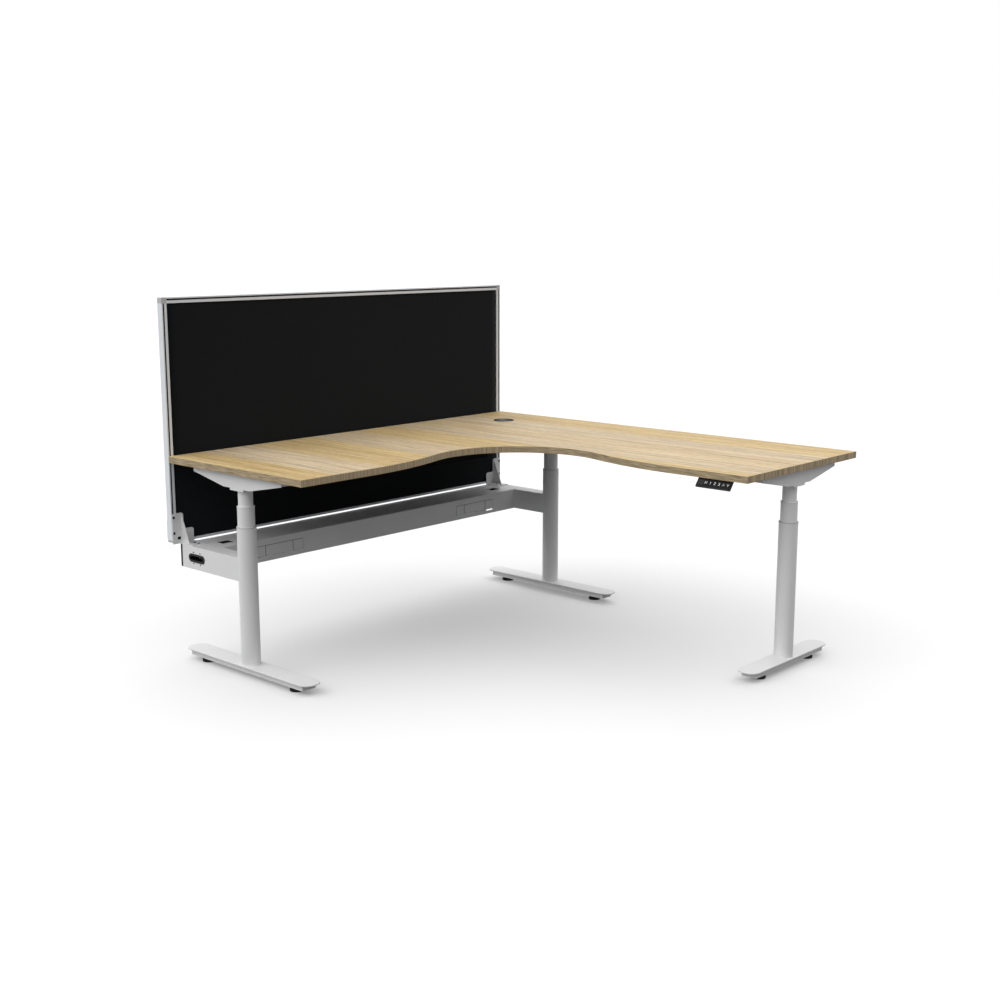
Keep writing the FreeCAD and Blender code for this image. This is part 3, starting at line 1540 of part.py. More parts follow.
FACING_FRONT = axes((1, 0, 0), (0, 0, 1), (0, -1, 0))
frame_screws = []
for name, (x, inward) in bracket_ends.items():
    for index, setback in enumerate(flange_screws, start=1):
        link = copy_of(short_screw, f"flange_screw_{name}_{index}")
        screw_x = x + (s.bracket_edge_gap + flange_screw_x) * inward
        put(link, screw_x, screen_front_y - setback, s.beam_top_height + s.bracket_thickness)
        frame_screws.append(link)
    for end, rise in bracket_screws.items():
        master = short_screw if end == "upper" else clamp_bolt
        link = copy_of(master, f"plate_screw_{name}_{end}")
        put(link, x + screen_screw_x * inward, screen_front_y - s.bracket_thickness,
            s.beam_top_height + rise, FACING_FRONT)
        frame_screws.append(link)
for name, outward in arm_columns.items():
    x, y, turn = arm_places[name]
    facing = axes((0, -outward, 0), (0, 0, -1), (outward, 0, 0))
    for along in (-1, 1):
        for up in (-1, 1):
            link = copy_of(rivet, f"rivet_{name}_{along + 1}_{up + 1}")
            put(link, x + s.arm_width / 2 * outward, y + port_y + s.port_rivet_reach * along,
                arm_bottom + arm_middle + s.port_rivet_rise * up, facing)
            frame_screws.append(link)

hexagon = document.addObject("Part::Prism", "nut_hexagon")
hexagon.Polygon = NUT_SIDES
bind(hexagon, "Circumradius", s.post_nut_width / (math.cos(math.pi / NUT_SIDES) * 2))
bind(hexagon, "Height", s.post_nut_thickness)
nut_hole = document.addObject("Part::Cylinder", "nut_hole")
bind(nut_hole, "Radius", s.post_radius)
bind(nut_hole, "Height", s.post_nut_thickness)
post_nut = document.addObject("Part::Cut", "post_nut")
post_nut.Base = hexagon
post_nut.Tool = nut_hole
frame_screws += at_columns(post_nut, plate_underside - s.post_nut_thickness)
group("frame_screws", frame_screws)

# Recompute, test every object and every node, then write the nodes

document.recompute()
for item in document.Objects:
    if "Invalid" in item.State or "Error" in item.State:
        raise RuntimeError(f"{item.Name} failed: {item.State}")
for cut in cuts:
    before = cut.BaseFeature.Shape.Volume
    if not cut.Shape.Volume < before:
        raise RuntimeError(f"{cut.Name} removes nothing")
os.makedirs("parts", exist_ok=True)
for item in nodes:
    if item.Shape.isNull() or not item.Shape.isValid():
        raise RuntimeError(f"{item.Label} is not a valid shape")
for item in nodes:
    item.Shape.exportStep(f"parts/{item.Label}.step")
print(f"{len(nodes)} nodes written")
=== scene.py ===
import json
import math

import bmesh
import bpy
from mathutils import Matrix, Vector


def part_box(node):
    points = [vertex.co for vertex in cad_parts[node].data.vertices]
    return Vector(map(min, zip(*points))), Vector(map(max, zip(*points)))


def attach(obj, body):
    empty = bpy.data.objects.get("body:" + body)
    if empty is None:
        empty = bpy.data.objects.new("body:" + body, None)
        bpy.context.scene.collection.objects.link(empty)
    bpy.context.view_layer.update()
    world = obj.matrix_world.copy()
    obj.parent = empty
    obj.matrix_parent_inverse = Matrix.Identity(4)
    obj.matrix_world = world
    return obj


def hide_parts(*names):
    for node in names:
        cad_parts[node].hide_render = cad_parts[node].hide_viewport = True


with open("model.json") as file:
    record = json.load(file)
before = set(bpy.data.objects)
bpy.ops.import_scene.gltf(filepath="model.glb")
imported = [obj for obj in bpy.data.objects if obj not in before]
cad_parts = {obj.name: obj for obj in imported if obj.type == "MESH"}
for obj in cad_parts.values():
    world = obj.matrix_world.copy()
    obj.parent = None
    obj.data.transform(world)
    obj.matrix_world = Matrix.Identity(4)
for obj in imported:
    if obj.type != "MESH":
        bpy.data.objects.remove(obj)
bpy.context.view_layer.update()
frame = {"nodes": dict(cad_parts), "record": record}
nodes = frame["nodes"]
MM = 0.001


# Camera: where the photograph was taken from, in the part's own frame

CAMERA_PLACE = Vector((-3.7435, -3.3381, 1.5520))
CAMERA_HEADING = math.radians(42.281)
CAMERA_DROP = math.radians(10.829)
SENSOR = 36.0
FOCAL_SHARE = 1.36904
VIEW_REACH = 60


def add_camera():
    data = bpy.data.cameras.new("view")
    data.sensor_width = SENSOR
    data.lens = SENSOR * FOCAL_SHARE
    data.clip_end = VIEW_REACH
    camera = bpy.data.objects.new("view", data)
    bpy.context.scene.collection.objects.link(camera)
    level = math.cos(CAMERA_DROP)
    forward = Vector((math.cos(CAMERA_HEADING) * level, math.sin(CAMERA_HEADING) * level,
                      -math.sin(CAMERA_DROP)))
    camera.location = CAMERA_PLACE
    camera.rotation_euler = forward.to_track_quat("-Z", "Y").to_euler()
    bpy.context.scene.camera = camera


add_camera()


# Material helpers

def linear(text):
    """An sRGB hex colour as linear red, green, blue and alpha."""
    channels = [int(text[start:start + 2], 16) / 255 for start in (0, 2, 4)]
    return [c / 12.92 if c <= 0.04045 else ((c + 0.055) / 1.055) ** 2.4 for c in channels] + [1]


def feed(tree, socket, value):
    """Links a socket to another, or to a node's first output in use, or gives it a value."""
    if isinstance(value, bpy.types.Node):
        value = next(output for output in value.outputs if output.enabled)
    if isinstance(value, bpy.types.NodeSocket):
        tree.links.new(value, socket)
    else:
        socket.default_value = value


def add_node(tree, kind, *values, stops=(), **named):
    """Adds a shader node. Names in small letters are its settings, and names with a capital its
    inputs, with _ for a space. Values without a name go to the inputs in use, in their order.
    Stops are (position, colour) pairs on a colour ramp, in sRGB hex or a plain grey."""
    made = tree.nodes.new("ShaderNode" + kind)
    for name, value in named.items():
        if name.islower():
            setattr(made, name, value)
    in_use = [socket for socket in made.inputs if socket.enabled]
    for socket, value in zip(in_use, values):
        feed(tree, socket, value)
    for name, value in named.items():
        if not name.islower():
            feed(tree, made.inputs[name.replace("_", " ")], value)
    if stops:
        elements = made.color_ramp.elements
        while len(elements) < len(stops):
            elements.new(0.5)
        for element, (position, colour) in zip(elements, stops):
            element.position = position
            element.color = linear(colour) if isinstance(colour, str) else [colour] * 3 + [1]
    return made


def new_material(name, **sockets):
    """A material, with plain values on its shader: gives the material, tree, shader and place."""
    material = bpy.data.materials.new(name)
    material.use_nodes = True
    tree = material.node_tree
    shader = tree.nodes["Principled BSDF"]
    for socket, value in sockets.items():
        shader.inputs[socket.replace("_", " ")].default_value = value
    place = add_node(tree, "TexCoord").outputs["Object"]
    return material, tree, shader, place


def paint(tree, shader, colour, roughness=None):
    """Colours the surface, with a roughness from low to high as its factor goes from 0 to 1."""
    feed(tree, shader.inputs["Base Color"], colour)
    if roughness:
        factor, low, high = roughness
        spread = add_node(tree, "MapRange", factor, To_Min=low, To_Max=high)
        feed(tree, shader.inputs["Roughness"], spread)


def relief(tree, shader, height, depth, strength=1.0):
    """Bumps the surface by height, depth metres from 0 to 1."""
    bump = add_node(tree, "Bump", Height=height, Distance=depth, Strength=strength)
    feed(tree, shader.inputs["Normal"], bump)


def facing(tree, axis):
    """How squarely the surface looks along an axis, from -1 to 1."""
    normal = add_node(tree, "NewGeometry").outputs["Normal"]
    return add_node(tree, "SeparateXYZ", normal).outputs[axis]


# Finishes. A noise pattern's grains are about as wide as the size that divides its scale.

def powder_coat(name, low, high, shade_limits=()):
    """Polyester powder, sprayed on steel and baked: satin, with a fine orange peel. Between all
    the given limits, (axis, start, end), the colour is painted shade: near black, for the shade
    inside hollows."""
    material, tree, shader, place = new_material(name, IOR=1.5, Specular_IOR_Level=0.25)
    cloud = add_node(tree, "TexNoise", place, Scale=1 / (160 * MM))
    peel = add_node(tree, "TexNoise", place, Scale=1 / (2.2 * MM))
    shade = add_node(tree, "ValToRGB", cloud, stops=((0.35, low), (0.65, high)))
    if shade_limits:
        axes = add_node(tree, "SeparateXYZ", place).outputs
        share = 1.0
        for axis, start, end in shade_limits:
            after = add_node(tree, "Math", axes[axis], start, operation="GREATER_THAN")
            before = add_node(tree, "Math", axes[axis], end, operation="LESS_THAN")
            between = add_node(tree, "Math", after, before, operation="MULTIPLY")
            share = add_node(tree, "Math", share, between, operation="MULTIPLY")
        # Painted shade: a near black for the shade inside the limits
        painted_shade = add_node(tree, "ValToRGB", peel, stops=((0.35, "1E1E20"), (0.65, "333335")))
        shade = add_node(tree, "Mix", share, shade, painted_shade, data_type="RGBA")
    paint(tree, shader, shade, (peel, 0.28, 0.38))
    relief(tree, shader, peel, 0.03 * MM)
    return material


def moulded_plastic(name, low, high, gloss, grain=0.9, shine=0.22):
    """Injection-moulded ABS or nylon: an even colour and a fine spark-eroded grain."""
    material, tree, shader, place = new_material(name, IOR=1.5, Specular_IOR_Level=shine)
    speck = add_node(tree, "TexNoise", place, Scale=1 / (grain * MM), Detail=3.0)
    shade = add_node(tree, "ValToRGB", speck, stops=((0.3, low), (0.7, high)))
    paint(tree, shader, shade, (speck, gloss - 0.06, gloss + 0.06))
    relief(tree, shader, speck, 0.04 * MM)
    return material


def smoked_window():
    """Polished dark acrylic over the display: nearly black, with a clean reflection."""
    material, tree, shader, place = new_material("smoked_acrylic", IOR=1.49,
                                                 Specular_IOR_Level=0.3)
    haze = add_node(tree, "TexNoise", place, Scale=1 / (6 * MM))
    shade = add_node(tree, "ValToRGB", haze, stops=((0.3, "232426"), (0.7, "28292B")))
    paint(tree, shader, shade, (haze, 0.1, 0.16))
    return material


def zinc_plate():
    """Turned or pressed steel, bright zinc plated: grey, with fine tool lines and soft clouds."""
    material, tree, shader, place = new_material("zinc_plated_steel", Metallic=1.0)
    cloud = add_node(tree, "TexNoise", place, Scale=1 / (9 * MM))
    squeezed = add_node(tree, "Mapping", place, Scale=(1, 1, 12))
    lines = add_node(tree, "TexNoise", squeezed, Scale=1 / (4 * MM), Detail=3.0)
    shade = add_node(tree, "ValToRGB", cloud, stops=((0.3, "A9ACB0"), (0.7, "C4C5C4")))
    paint(tree, shader, shade, (lines, 0.26, 0.42))
    relief(tree, shader, lines, 0.02 * MM)
    return material


def black_zinc():
    """Screw heads, zinc plated and passivated black: a dull dark metal with worn brighter rims."""
    material, tree, shader, place = new_material("black_zinc_steel", Metallic=1.0)
    cloud = add_node(tree, "TexNoise", place, Scale=1 / (3 * MM), Detail=3.0)
    shade = add_node(tree, "ValToRGB", cloud, stops=((0.3, "2A2A2C"), (0.7, "47474A")))
    paint(tree, shader, shade, (cloud, 0.32, 0.5))
    relief(tree, shader, cloud, 0.02 * MM)
    return material


def enamel():
    """Black enamel on a die-cast gear housing: soft gloss over a slightly pitted casting."""
    material, tree, shader, place = new_material("black_enamel", IOR=1.5, Specular_IOR_Level=0.35)
    pits = add_node(tree, "TexNoise", place, Scale=1 / (1.6 * MM), Detail=4.0)
    shade = add_node(tree, "ValToRGB", pits, stops=((0.3, "101011"), (0.7, "18181A")))
    paint(tree, shader, shade, (pits, 0.3, 0.5))
    relief(tree, shader, pits, 0.08 * MM)
    return material


def fibre_board():
    """Raw fibre board, pressed and sawn: pale brown with short matted fibres."""
    material, tree, shader, place = new_material("fibre_board", Specular_IOR_Level=0.2)
    fibres = add_node(tree, "TexNoise", place, Scale=1 / (1.1 * MM), Detail=5.0)
    cloud = add_node(tree, "TexNoise", place, Scale=1 / (30 * MM))
    matted = add_node(tree, "Math", fibres, 0.6, operation="MULTIPLY")
    mixed = add_node(tree, "Math", cloud, 0.4, matted, operation="MULTIPLY_ADD")
    shade = add_node(tree, "ValToRGB", mixed, stops=((0.3, "8C7250"), (0.7, "B4986E")))
    paint(tree, shader, shade, (fibres, 0.8, 0.95))
    relief(tree, shader, fibres, 0.12 * MM)
    return material


def woven_polyester():
    """Screen cloth, plain woven and stretched: near black, with a faint mottle of its yarns.
    The yarns are drawn 2.4 mm apart, twice the real pitch, so that the weave shows at all."""
    material, tree, shader, place = new_material("woven_polyester", Roughness=0.95,
                                                 Specular_IOR_Level=0.08, Sheen_Weight=0.06,
                                                 Sheen_Roughness=0.6)
    # At scale 1 the bands of this pattern are pi / 10 apart
    scale = math.pi / (10 * 2.4 * MM)
    yarns = [add_node(tree, "TexWave", place, bands_direction=axis, Scale=scale,
                      Distortion=0.4, Detail=1.0).outputs["Fac"] for axis in "XZ"]
    weave = add_node(tree, "Math", *yarns, operation="MULTIPLY")
    mottle = add_node(tree, "TexNoise", place, Scale=1 / (5 * MM), Detail=3.0)
    mottle = add_node(tree, "Math", mottle, 0.65, operation="MULTIPLY")
    mixed = add_node(tree, "Math", weave, 0.35, mottle, operation="MULTIPLY_ADD")
    paint(tree, shader, add_node(tree, "ValToRGB", mixed,
                                 stops=((0.2, "0D0F12"), (0.75, "181A1E"))))
    relief(tree, shader, weave, 0.25 * MM, 0.6)
    return material


# Oak decor: each strip of the pattern as its left edge in millimetres and how pale it is

OAK_STRIPS = ((-900, 0.15), (-770, 0.1), (-735, 1.0), (-545, 0.9), (-505, 0.2), (-255, 0.1),
              (-215, 1.0), (-35, 0.75), (15, 0.2), (190, 0.15), (228, 1.0), (330, 0.8),
              (420, 0.6), (560, 0.8), (640, 1.0), (700, 0.7), (728, 0.1), (900, 0.15))
OAK_WIDTH = 1800
OAK_SWAY = 34 * MM


def grain(tree, across, place, width, length, detail=2.0):
    """Noise drawn out along the grain: lines width across and length long, in millimetres."""
    along = add_node(tree, "SeparateXYZ", place).outputs["Y"]
    across = add_node(tree, "Math", across, width * MM, operation="DIVIDE")
    along = add_node(tree, "Math", along, length * MM, operation="DIVIDE")
    drawn = add_node(tree, "CombineXYZ", across, along)
    return add_node(tree, "TexNoise", drawn, Scale=1.0, Detail=detail)


def oak_colour(tree, across, place):
    """The decor's colour and pore height, from a length across the grain: honey and pale strips
    that sway a little, with fine lines, flecks, broad lines and darker growth rings."""
    sway = add_node(tree, "Math", grain(tree, across, place, 260, 700), 0.5, operation="SUBTRACT")
    across = add_node(tree, "Math", sway, OAK_SWAY, across, operation="MULTIPLY_ADD")
    from_middle = add_node(tree, "Math", across, OAK_WIDTH * MM, operation="DIVIDE")
    from_left = add_node(tree, "Math", from_middle, 0.5, operation="ADD")
    strip = add_node(tree, "ValToRGB", from_left,
                     stops=[(start / OAK_WIDTH + 0.5, paleness) for start, paleness in OAK_STRIPS])
    fine = grain(tree, across, place, 4, 260, 4.0)
    flecks = grain(tree, across, place, 5, 34, 2.0)
    broad = grain(tree, across, place, 18, 1100, 3.0)
    tone = add_node(tree, "Math", fine, 0.5, operation="MULTIPLY")
    for pattern, share in ((flecks, 0.22), (broad, 0.28)):
        tone = add_node(tree, "Math", pattern, share, tone, operation="MULTIPLY_ADD")
    rings = grain(tree, across, place, 11, 5000, 1.0)
    rings = add_node(tree, "MapRange", rings, From_Min=0.56, From_Max=0.66, To_Max=0.075)
    tone = add_node(tree, "Math", tone, rings, operation="SUBTRACT")
    honey = add_node(tree, "ValToRGB", tone,
                     stops=((0.36, "A1824E"), (0.49, "CDB07B"), (0.6, "E4CA92")))
    pale = add_node(tree, "ValToRGB", tone,
                    stops=((0.36, "9A8C75"), (0.49, "CEB897"), (0.6, "E6D3B6")))
    return add_node(tree, "Mix", strip, honey, pale, data_type="RGBA"), fine


def oak_melamine():
    """Oak decor paper pressed on chipboard with a melamine skin: matt, with fine pores. The
    underside has the plain grey balancing sheet."""
    material, tree, shader, place = new_material("oak_melamine", IOR=1.45,
                                                 Specular_IOR_Level=0.3)
    across = add_node(tree, "SeparateXYZ", place).outputs["X"]
    shade, pores = oak_colour(tree, across, place)
    under = add_node(tree, "Math", facing(tree, "Z"), -0.5, operation="LESS_THAN")
    flock = add_node(tree, "TexNoise", place, Scale=1 / (12 * MM), Detail=4.0)
    sheet = add_node(tree, "ValToRGB", flock, stops=((0.35, "77777A"), (0.65, "808082")))
    shade = add_node(tree, "Mix", under, shade, sheet, data_type="RGBA")
    paint(tree, shader, shade, (pores, 0.5, 0.68))
    relief(tree, shader, pores, 0.06 * MM)
    return material


def oak_edging():
    """Oak ABS edging, glued on and trimmed: the decor's lines run up across the ends and along
    the sides. A painted highlight, warm and light, runs along the top arris, and a warmer brown
    line along the bottom one."""
    material, tree, shader, place = new_material("oak_edging", IOR=1.45, Specular_IOR_Level=0.25)
    axes = add_node(tree, "SeparateXYZ", place).outputs
    sideways = add_node(tree, "Math", facing(tree, "X"), operation="ABSOLUTE")
    sideways = add_node(tree, "MapRange", sideways, From_Min=0.55, From_Max=0.8)
    ends = grain(tree, axes["X"], place, 4.5, 2000, 3.0)
    sides = grain(tree, axes["Z"], place, 3, 60, 3.0)
    tone = add_node(tree, "Mix", sideways, ends, sides)
    shade = add_node(tree, "ValToRGB", tone,
                     stops=((0.32, "82735A"), (0.5, "AE9B7E"), (0.68, "CAB897")))
    low, high = (corner[2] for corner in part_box("edge_band"))
    # A painted highlight along the top arris and a warmer brown line along the bottom one, each
    # fading out over a millimetre
    for level, colour in ((high, "EBD29A"), (low, "A98E62")):
        offset = add_node(tree, "Math", axes["Z"], level, operation="SUBTRACT")
        offset = add_node(tree, "Math", offset, operation="ABSOLUTE")
        share = add_node(tree, "MapRange", offset, From_Min=0.8 * MM, From_Max=1.8 * MM,
                         To_Min=0.8, To_Max=0.0)
        shade = add_node(tree, "Mix", share, shade, linear(colour), data_type="RGBA")
    paint(tree, shader, shade, (tone, 0.5, 0.66))
    relief(tree, shader, tone, 0.05 * MM)
    return material


STEEL_WHITES = ("EAEAEB", "EEEEEE")
MATERIALS = {
    "white_steel": powder_coat("powder_coated_steel", *STEEL_WHITES),
    "white_frame": powder_coat("powder_coated_aluminium", "EEF1F5", "F1F4F8"),
    "grey_plastic": moulded_plastic("grey_nylon", "C4C5C6", "CBCCCC", 0.5),
    "black_plastic": moulded_plastic("black_abs", "101011", "171718", 0.5),
    "dark_cap": moulded_plastic("slate_abs", "343A42", "3C424A", 0.45),
    "dark_window": smoked_window(),
    "key_rubber": moulded_plastic("silicone_rubber", "1D1E20", "232426", 0.62),
    "oak_laminate": oak_melamine(),
    "oak_edge": oak_edging(),
    "screen_board": fibre_board(),
    "dark_fabric": woven_polyester(),
    "zinc_steel": zinc_plate(),
    "black_zinc": black_zinc(),
    "motor_paint": enamel(),
}


def dress(node, material):
    """Gives a CAD node one material all over."""
    coats = nodes[node].data.materials
    coats.clear()
    coats.append(material)


for part in frame["record"]["subparts"]:
    dress(part["node"], MATERIALS[part["material_slot"]])

# The control box is of the same plastic with a coarse, dull texture and a darker copy of its
# colour, painted shade, so it stays black in shade
dress("control_box",
      moulded_plastic("textured_abs_painted_shade", "070708", "0B0B0C", 0.8, grain=1.6, shine=0.05))


# Hollow steel: powder outside, and painted shade inside, from half a sheet's thickness on: near
# black where little light reaches. The knock-out plates lie in the front of the beam, and keep the
# white on their front faces only: their edges, in the gaps round them, get painted shade.

HALF_SHEET = 1.0 * MM
WHITE_FRONT_DEPTH = 0.5 * MM


def within(node, *axes):
    """Limits half a sheet inside the node's box along each of the axes."""
    low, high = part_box(node)
    return [(axis, low["XYZ".index(axis)] + HALF_SHEET, high["XYZ".index(axis)] - HALF_SHEET)
            for axis in axes]


def coat_with_inner_painted_shade(node, shade_limits):
    dress(node, powder_coat(f"powder_coated_{node}", *STEEL_WHITES, shade_limits=shade_limits))


# Painted shade on the knock-out plates' edges, in the gaps where shade falls
plate_low, plate_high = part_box("knockouts")
coat_with_inner_painted_shade("knockouts", [("Y", plate_low[1] + WHITE_FRONT_DEPTH, plate_high[1] + WHITE_FRONT_DEPTH)])
# Painted shade inside the beam and the side arms, seen through their holes and ports
coat_with_inner_painted_shade("beam", within("beam", "Y", "Z"))
for arm in ("side_arm_left", "side_arm_right"):
    coat_with_inner_painted_shade(arm, within(arm, "X", "Z"))


# Mesh helpers

def corners(node):
    """The lowest and the highest corner of a CAD node's box."""
    return [Vector(corner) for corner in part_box(node)]


def band(first, second, count):
    """The faces between two rings of count points each, given by their first points."""
    return [(first + place, first + after, second + after, second + place)
            for place, after in enumerate([*range(1, count), 0])]


def mesh_from(name, points, faces, smooth=True):
    mesh = bpy.data.meshes.new(name)
    mesh.from_pydata([tuple(point) for point in points], [], faces)
    mesh.update()
    mesh.polygons.foreach_set("use_smooth", [smooth] * len(mesh.polygons))
    return mesh


def new_piece(name, mesh, material, body):
    piece = bpy.data.objects.new(name, mesh)
    bpy.context.scene.collection.objects.link(piece)
    mesh.materials.append(material)
    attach(piece, body)
    return piece


# Screen cloth: one piece of fabric drawn round the board, with its edge tucked in the frame

CLOTH_THICK = 1.2 * MM
CLOTH_SLACK = 0.2 * MM
TUCK_DEPTH = 1.0 * MM
TUCK_REACH = 26 * MM
HEM_RISES = (0.2 * MM, 13 * MM, 26 * MM, 32 * MM, 56 * MM)
FLAT_MARGIN = 60 * MM
FLAT_STEPS = 12
CLOTH_COLUMNS = 40


def tuck(start, end, place):
    """How far the cloth is drawn in at a place between its two edges."""
    edge = min(place - start, end - place)
    return TUCK_DEPTH * max(0.0, 1 - edge / TUCK_REACH) ** 0.5


def screen_cloth():
    """A sleeve: a closed loop over the height of the board, repeated in columns along it."""
    low, high = corners("screen_fabric")
    core_low, core_high = corners("screen_core")
    middle = (low.y + high.y) / 2
    half = (high.y - low.y) / 2 - CLOTH_SLACK
    hem = [low.z + rise for rise in HEM_RISES]
    flat_low, flat_high = low.z + FLAT_MARGIN, high.z - FLAT_MARGIN
    flat = [flat_low + (flat_high - flat_low) * step / FLAT_STEPS
            for step in range(FLAT_STEPS + 1)]
    rises = hem + flat + [low.z + high.z - rise for rise in reversed(hem)]
    profile = [(half - tuck(low.z, high.z, rise), rise) for rise in rises]
    loop = [(middle - out, rise) for out, rise in profile]
    loop += [(middle + out, rise) for out, rise in reversed(profile)]
    points, faces = [], []
    for column in range(CLOTH_COLUMNS + 1):
        x = core_low.x + (core_high.x - core_low.x) * column / CLOTH_COLUMNS
        pull = tuck(core_low.x, core_high.x, x)
        points += [(x, y + (pull if y < middle else -pull), z) for y, z in loop]
    for column in range(CLOTH_COLUMNS):
        faces += band(column * len(loop), (column + 1) * len(loop), len(loop))
    mesh = mesh_from("screen_cloth", points, faces)
    cloth = new_piece("screen_cloth", mesh, MATERIALS["dark_fabric"], "frame")
    shell = cloth.modifiers.new("thickness", "SOLIDIFY")
    shell.thickness = CLOTH_THICK
    shell.offset = -1
    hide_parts("screen_fabric")


screen_cloth()


# Marks on the keys, printed on the sloping face of each: one stroke, on a grid of 4 by 6

KEY_FACE_UP = Vector((0.60508, 0.0, 0.79616))
KEY_FACE_OUT = Vector((-0.79616, 0.0, 0.60508))
KEY_FACE_RIGHT = Vector((0.0, -1.0, 0.0))
MARKS = {
    "key_1": [(0, 0), (0, 6), (2, 2.4), (4, 6), (4, 0)],
    "key_2": [(2, 6), (2, 0)],
    "key_3": [(0.2, 4.8), (0.9, 5.7), (2, 6), (3.1, 5.7), (3.7, 4.7), (3.1, 3.5), (0.4, 0.3),
              (4, 0.3)],
    "key_4": [(0.3, 5.2), (1.3, 6), (2.8, 5.9), (3.6, 4.9), (3.1, 3.7), (1.7, 3.2), (3.2, 2.8),
              (3.8, 1.6), (3, 0.3), (1.4, 0), (0.2, 0.8)],
    "key_5": [(-0.1, 0.2), (2, 5.7), (4.1, 0.2)],
    "key_6": [(-0.1, 5.8), (2, 0.3), (4.1, 5.8)],
}
GRID_WIDE, GRID_HIGH = 4, 6
MARK_WIDTH = 7.4 * MM
MARK_RISE = 9.4 * MM
MARK_STROKE = 1.4 * MM
MITRE_LIMIT = 0.7
INK_THICK = 0.12 * MM


def mark_material():
    """White two-part ink, pad printed: matt, with a slightly uneven film."""
    material, tree, shader, place = new_material("white_print", Specular_IOR_Level=0.3)
    film = add_node(tree, "TexNoise", place, Scale=1 / (0.8 * MM))
    shade = add_node(tree, "ValToRGB", film, stops=((0.3, "F4F4F4"), (0.7, "FAFAFA")))
    paint(tree, shader, shade, (film, 0.5, 0.65))
    return material


def stroke_edges(line):
    """The points on the left and on the right of a stroke along a line, mitred at its bends."""
    left, right = [], []
    ways = [(after - before).normalized() for before, after in zip(line, line[1:])]
    for point, coming, going in zip(line, ways[:1] + ways, ways + ways[-1:]):
        along = (coming + going).normalized()
        square = Vector((-along.y, along.x))
        lean = max(MITRE_LIMIT, square.dot(Vector((-going.y, going.x))))
        aside = square * MARK_STROKE / 2 / lean
        left.append(point + aside)
        right.append(point - aside)
    return left, right


def print_marks():
    ink = mark_material()
    for node, stroke in MARKS.items():
        low, high = corners(node)
        middle = (low + high) / 2
        surface = max(vertex.co.dot(KEY_FACE_OUT) for vertex in nodes[node].data.vertices)
        origin = middle + KEY_FACE_OUT * (surface - middle.dot(KEY_FACE_OUT))
        line = [Vector(((u - GRID_WIDE / 2) / GRID_WIDE * MARK_WIDTH,
                        (v - GRID_HIGH / 2) / GRID_HIGH * MARK_RISE)) for u, v in stroke]
        left, right = stroke_edges(line)
        built = bmesh.new()
        for quad in zip(left, left[1:], right[1:], right):
            base = [origin + KEY_FACE_RIGHT * p.x + KEY_FACE_UP * p.y for p in quad]
            lower = [built.verts.new(p) for p in base]
            upper = [built.verts.new(p + KEY_FACE_OUT * INK_THICK) for p in base]
            built.faces.new(upper[::-1])
            built.faces.new(lower)
            for side in range(4):
                after = (side + 1) % 4
                built.faces.new((lower[after], lower[side], upper[side], upper[after]))
        bmesh.ops.recalc_face_normals(built, faces=built.faces)
        mesh = bpy.data.meshes.new(f"mark_{node}")
        built.to_mesh(mesh)
        built.free()
        mark = new_piece(f"mark_{node}", mesh, ink, node)


print_marks()


# Dark rubber strips in the grooves of the screen's bars, on both of its faces: painted shade for
# the shade deep in the grooves. The setback is from the bar's outer edge to the groove's middle
# line, the floor and the recess are depths.

GROOVE_SETBACK = 7.75 * MM
GROOVE_FLOOR = 5.0 * MM
GROOVE_HALF = 3.25 * MM
STRIP_RECESS = 1.0 * MM
# The strip's face, in millimetres: places across the groove, and how far below the recess
STRIP_FACE = ((-3.25, 0.7), (-2.9, 0.0), (-1.2, 0.35), (0.0, 0.55), (1.2, 0.35), (2.9, 0.0),
              (3.25, 0.7))


def groove_shade_strip(points, faces, ends, across, face, inward):
    """One strip between two ends: its face is slightly hollow, with rounded edges."""
    start = len(points)
    section = [(line * MM, face + inward * (STRIP_RECESS + hollow * MM))
               for line, hollow in STRIP_FACE]
    floor = face + inward * GROOVE_FLOOR
    section += [(GROOVE_HALF, floor), (-GROOVE_HALF, floor)]
    count = len(section)
    for end in ends:
        for aside, depth in section:
            spot = end + across * aside
            points.append(Vector((spot.x, depth, spot.z)))
    faces += band(start, start + count, count)
    faces.append(tuple(range(start, start + count)))
    faces.append(tuple(reversed(range(start + count, start + 2 * count))))


def fill_grooves_with_painted_shade():
    points, faces = [], []
    low, high = corners("screen_rail_top")
    level = high.z - GROOVE_SETBACK
    runs = [((Vector((low.x, 0, level)), Vector((high.x, 0, level))), Vector((0, 0, 1)))]
    for node, outward in (("screen_post_left", -1), ("screen_post_right", 1)):
        post_low, post_high = corners(node)
        x = (post_low.x if outward < 0 else post_high.x) - outward * GROOVE_SETBACK
        runs.append(((Vector((x, 0, post_low.z)), Vector((x, 0, post_high.z))), Vector((1, 0, 0))))
    for ends, across in runs:
        groove_shade_strip(points, faces, ends, across, low.y, 1)
        groove_shade_strip(points, faces, ends, across, high.y, -1)
    mesh = mesh_from("groove_shade_strips", points, faces, smooth=False)
    # Painted shade: dark rubber strips where the grooves are shaded
    strips = new_piece("groove_shade_strips", mesh, MATERIALS["key_rubber"], "frame")


fill_grooves_with_painted_shade()


# Weld beads where each outer tube meets its foot: round, with the ripples of the weld pool

TUBE_RADIUS = 35 * MM
BEAD_RADIUS = 2.0 * MM
BEAD_STEPS = 160
BEAD_SIDES = 8
RIPPLE_SHARE = 0.16
RIPPLE_PITCH = 3.2 * MM


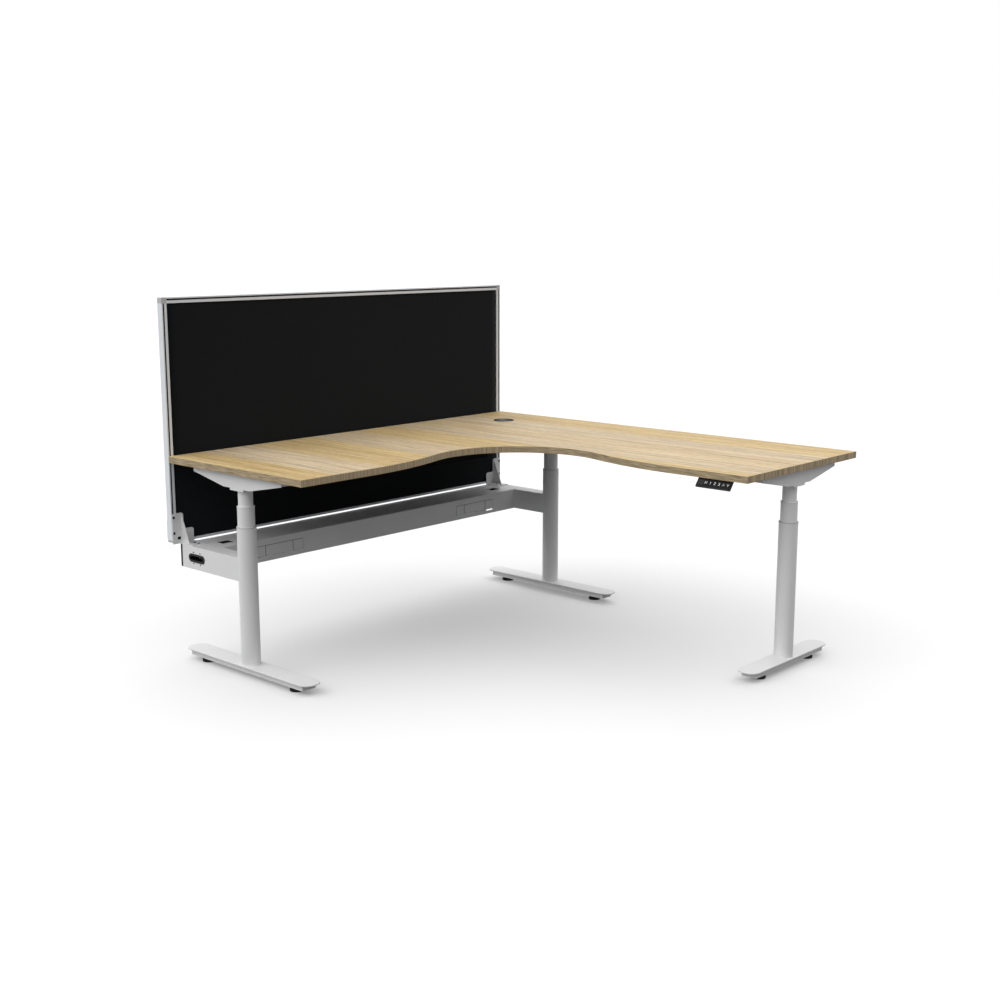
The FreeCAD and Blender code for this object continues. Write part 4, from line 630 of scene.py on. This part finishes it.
def bead_piece(name, path):
    points, faces = [], []
    travelled = 0.0
    for place, point in enumerate(path):
        after = path[(place + 1) % len(path)]
        along = (after - path[place - 1]).normalized()
        outward = along.orthogonal().normalized()
        across = along.cross(outward)
        ripple = RIPPLE_SHARE * math.sin(2 * math.pi * travelled / RIPPLE_PITCH)
        for side in range(BEAD_SIDES):
            turn = 2 * math.pi * side / BEAD_SIDES
            around = outward * math.cos(turn) + across * math.sin(turn)
            points.append(point + around * (BEAD_RADIUS * (1 + ripple)))
        faces += band(place * BEAD_SIDES, (place + 1) % len(path) * BEAD_SIDES, BEAD_SIDES)
        travelled += (after - point).length
    bead = new_piece(name, mesh_from(name, points, faces), MATERIALS["white_steel"], "frame")


def weld_columns():
    for side in ("left", "right", "corner"):
        low, high = corners(f"column_outer_{side}")
        middle = (low + high) / 2
        foot_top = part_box(f"foot_{side}")[1][2]
        turns = [2 * math.pi * step / BEAD_STEPS for step in range(BEAD_STEPS)]
        bead_piece(f"weld_foot_{side}",
                   [Vector((middle.x + TUBE_RADIUS * math.cos(turn),
                            middle.y + TUBE_RADIUS * math.sin(turn), foot_top))
                    for turn in turns])


weld_columns()


# Floor and light. The floor looks pale to the camera and sends less light up than it seems to.

FLOOR_SIZE = 60
FLOOR_DROP = 0.5 * MM
FLOOR_TONE = 0.15
FLOOR_TONE_SEEN = 0.8
FLOOR_GLOW_SEEN = 0.17
SKY_ABOVE = 0.68
SKY_BEHIND = 1.17
SKY_FRONT = 1.5
SKY_LEFT = 4.8
SKY_RIGHT = 2.0
ABOVE_FOCUS = 4.0


def seen_rays(tree):
    """One for rays that show the surround itself: to the camera, in gloss or through glass."""
    rays = add_node(tree, "LightPath").outputs
    indirect = add_node(tree, "Math", rays["Is Glossy Ray"], rays["Is Transmission Ray"],
                        operation="MAXIMUM")
    return add_node(tree, "Math", rays["Is Camera Ray"], indirect, operation="MAXIMUM")


def add_floor():
    bpy.ops.mesh.primitive_plane_add(size=FLOOR_SIZE, location=(0, 0, -FLOOR_DROP))
    floor = bpy.context.object
    floor.name = "studio_floor"
    material, tree, shader, _ = new_material("studio_floor", Roughness=1.0, Specular_IOR_Level=0.0,
                                             Emission_Color=(1, 1, 1, 1))
    seen = seen_rays(tree)
    tone = add_node(tree, "MapRange", seen, To_Min=FLOOR_TONE, To_Max=FLOOR_TONE_SEEN)
    glow = add_node(tree, "MapRange", seen, To_Max=FLOOR_GLOW_SEEN)
    feed(tree, shader.inputs["Base Color"], tone)
    feed(tree, shader.inputs["Emission Strength"], glow)
    floor.data.materials.append(material)


def add_sky():
    """A white surround to look at, and light from above, from behind, from high in front and
    from high on both sides, with a narrower lobe on the left than on the right."""
    world = bpy.data.worlds.new("studio")
    bpy.context.scene.world = world
    world.use_nodes = True
    tree = world.node_tree
    back = tree.nodes["Background"]
    back.inputs["Color"].default_value = (1, 1, 1, 1)
    towards = add_node(tree, "TexCoord").outputs["Generated"]
    x, y, z = add_node(tree, "SeparateXYZ", towards).outputs
    up = add_node(tree, "Math", z, 0.0, operation="MAXIMUM")
    above = add_node(tree, "Math", up, ABOVE_FOCUS, operation="POWER")
    behind = add_node(tree, "Math", y, 0.0, operation="MAXIMUM")
    front = add_node(tree, "Math", y, -1.0, operation="MULTIPLY")
    front = add_node(tree, "Math", front, 0.0, operation="MAXIMUM")
    steep = add_node(tree, "Math", up, up, operation="MULTIPLY")
    front = add_node(tree, "Math", front, steep, operation="MULTIPLY")
    left = add_node(tree, "Math", x, -1.0, operation="MULTIPLY")
    left = add_node(tree, "Math", left, 0.0, operation="MAXIMUM")
    left = add_node(tree, "Math", left, left, operation="MULTIPLY")
    left = add_node(tree, "Math", left, up, operation="MULTIPLY")
    right = add_node(tree, "Math", x, 0.0, operation="MAXIMUM")
    right = add_node(tree, "Math", right, up, operation="MULTIPLY")
    light = add_node(tree, "Math", above, SKY_ABOVE, operation="MULTIPLY")
    for lobe, share in ((behind, SKY_BEHIND), (front, SKY_FRONT), (left, SKY_LEFT),
                        (right, SKY_RIGHT)):
        light = add_node(tree, "Math", lobe, share, light, operation="MULTIPLY_ADD")
    strength = add_node(tree, "Mix", seen_rays(tree), light, 1.0)
    feed(tree, back.inputs["Strength"], strength)


add_floor()
add_sky()
bpy.context.scene.view_settings.view_transform = "Standard"
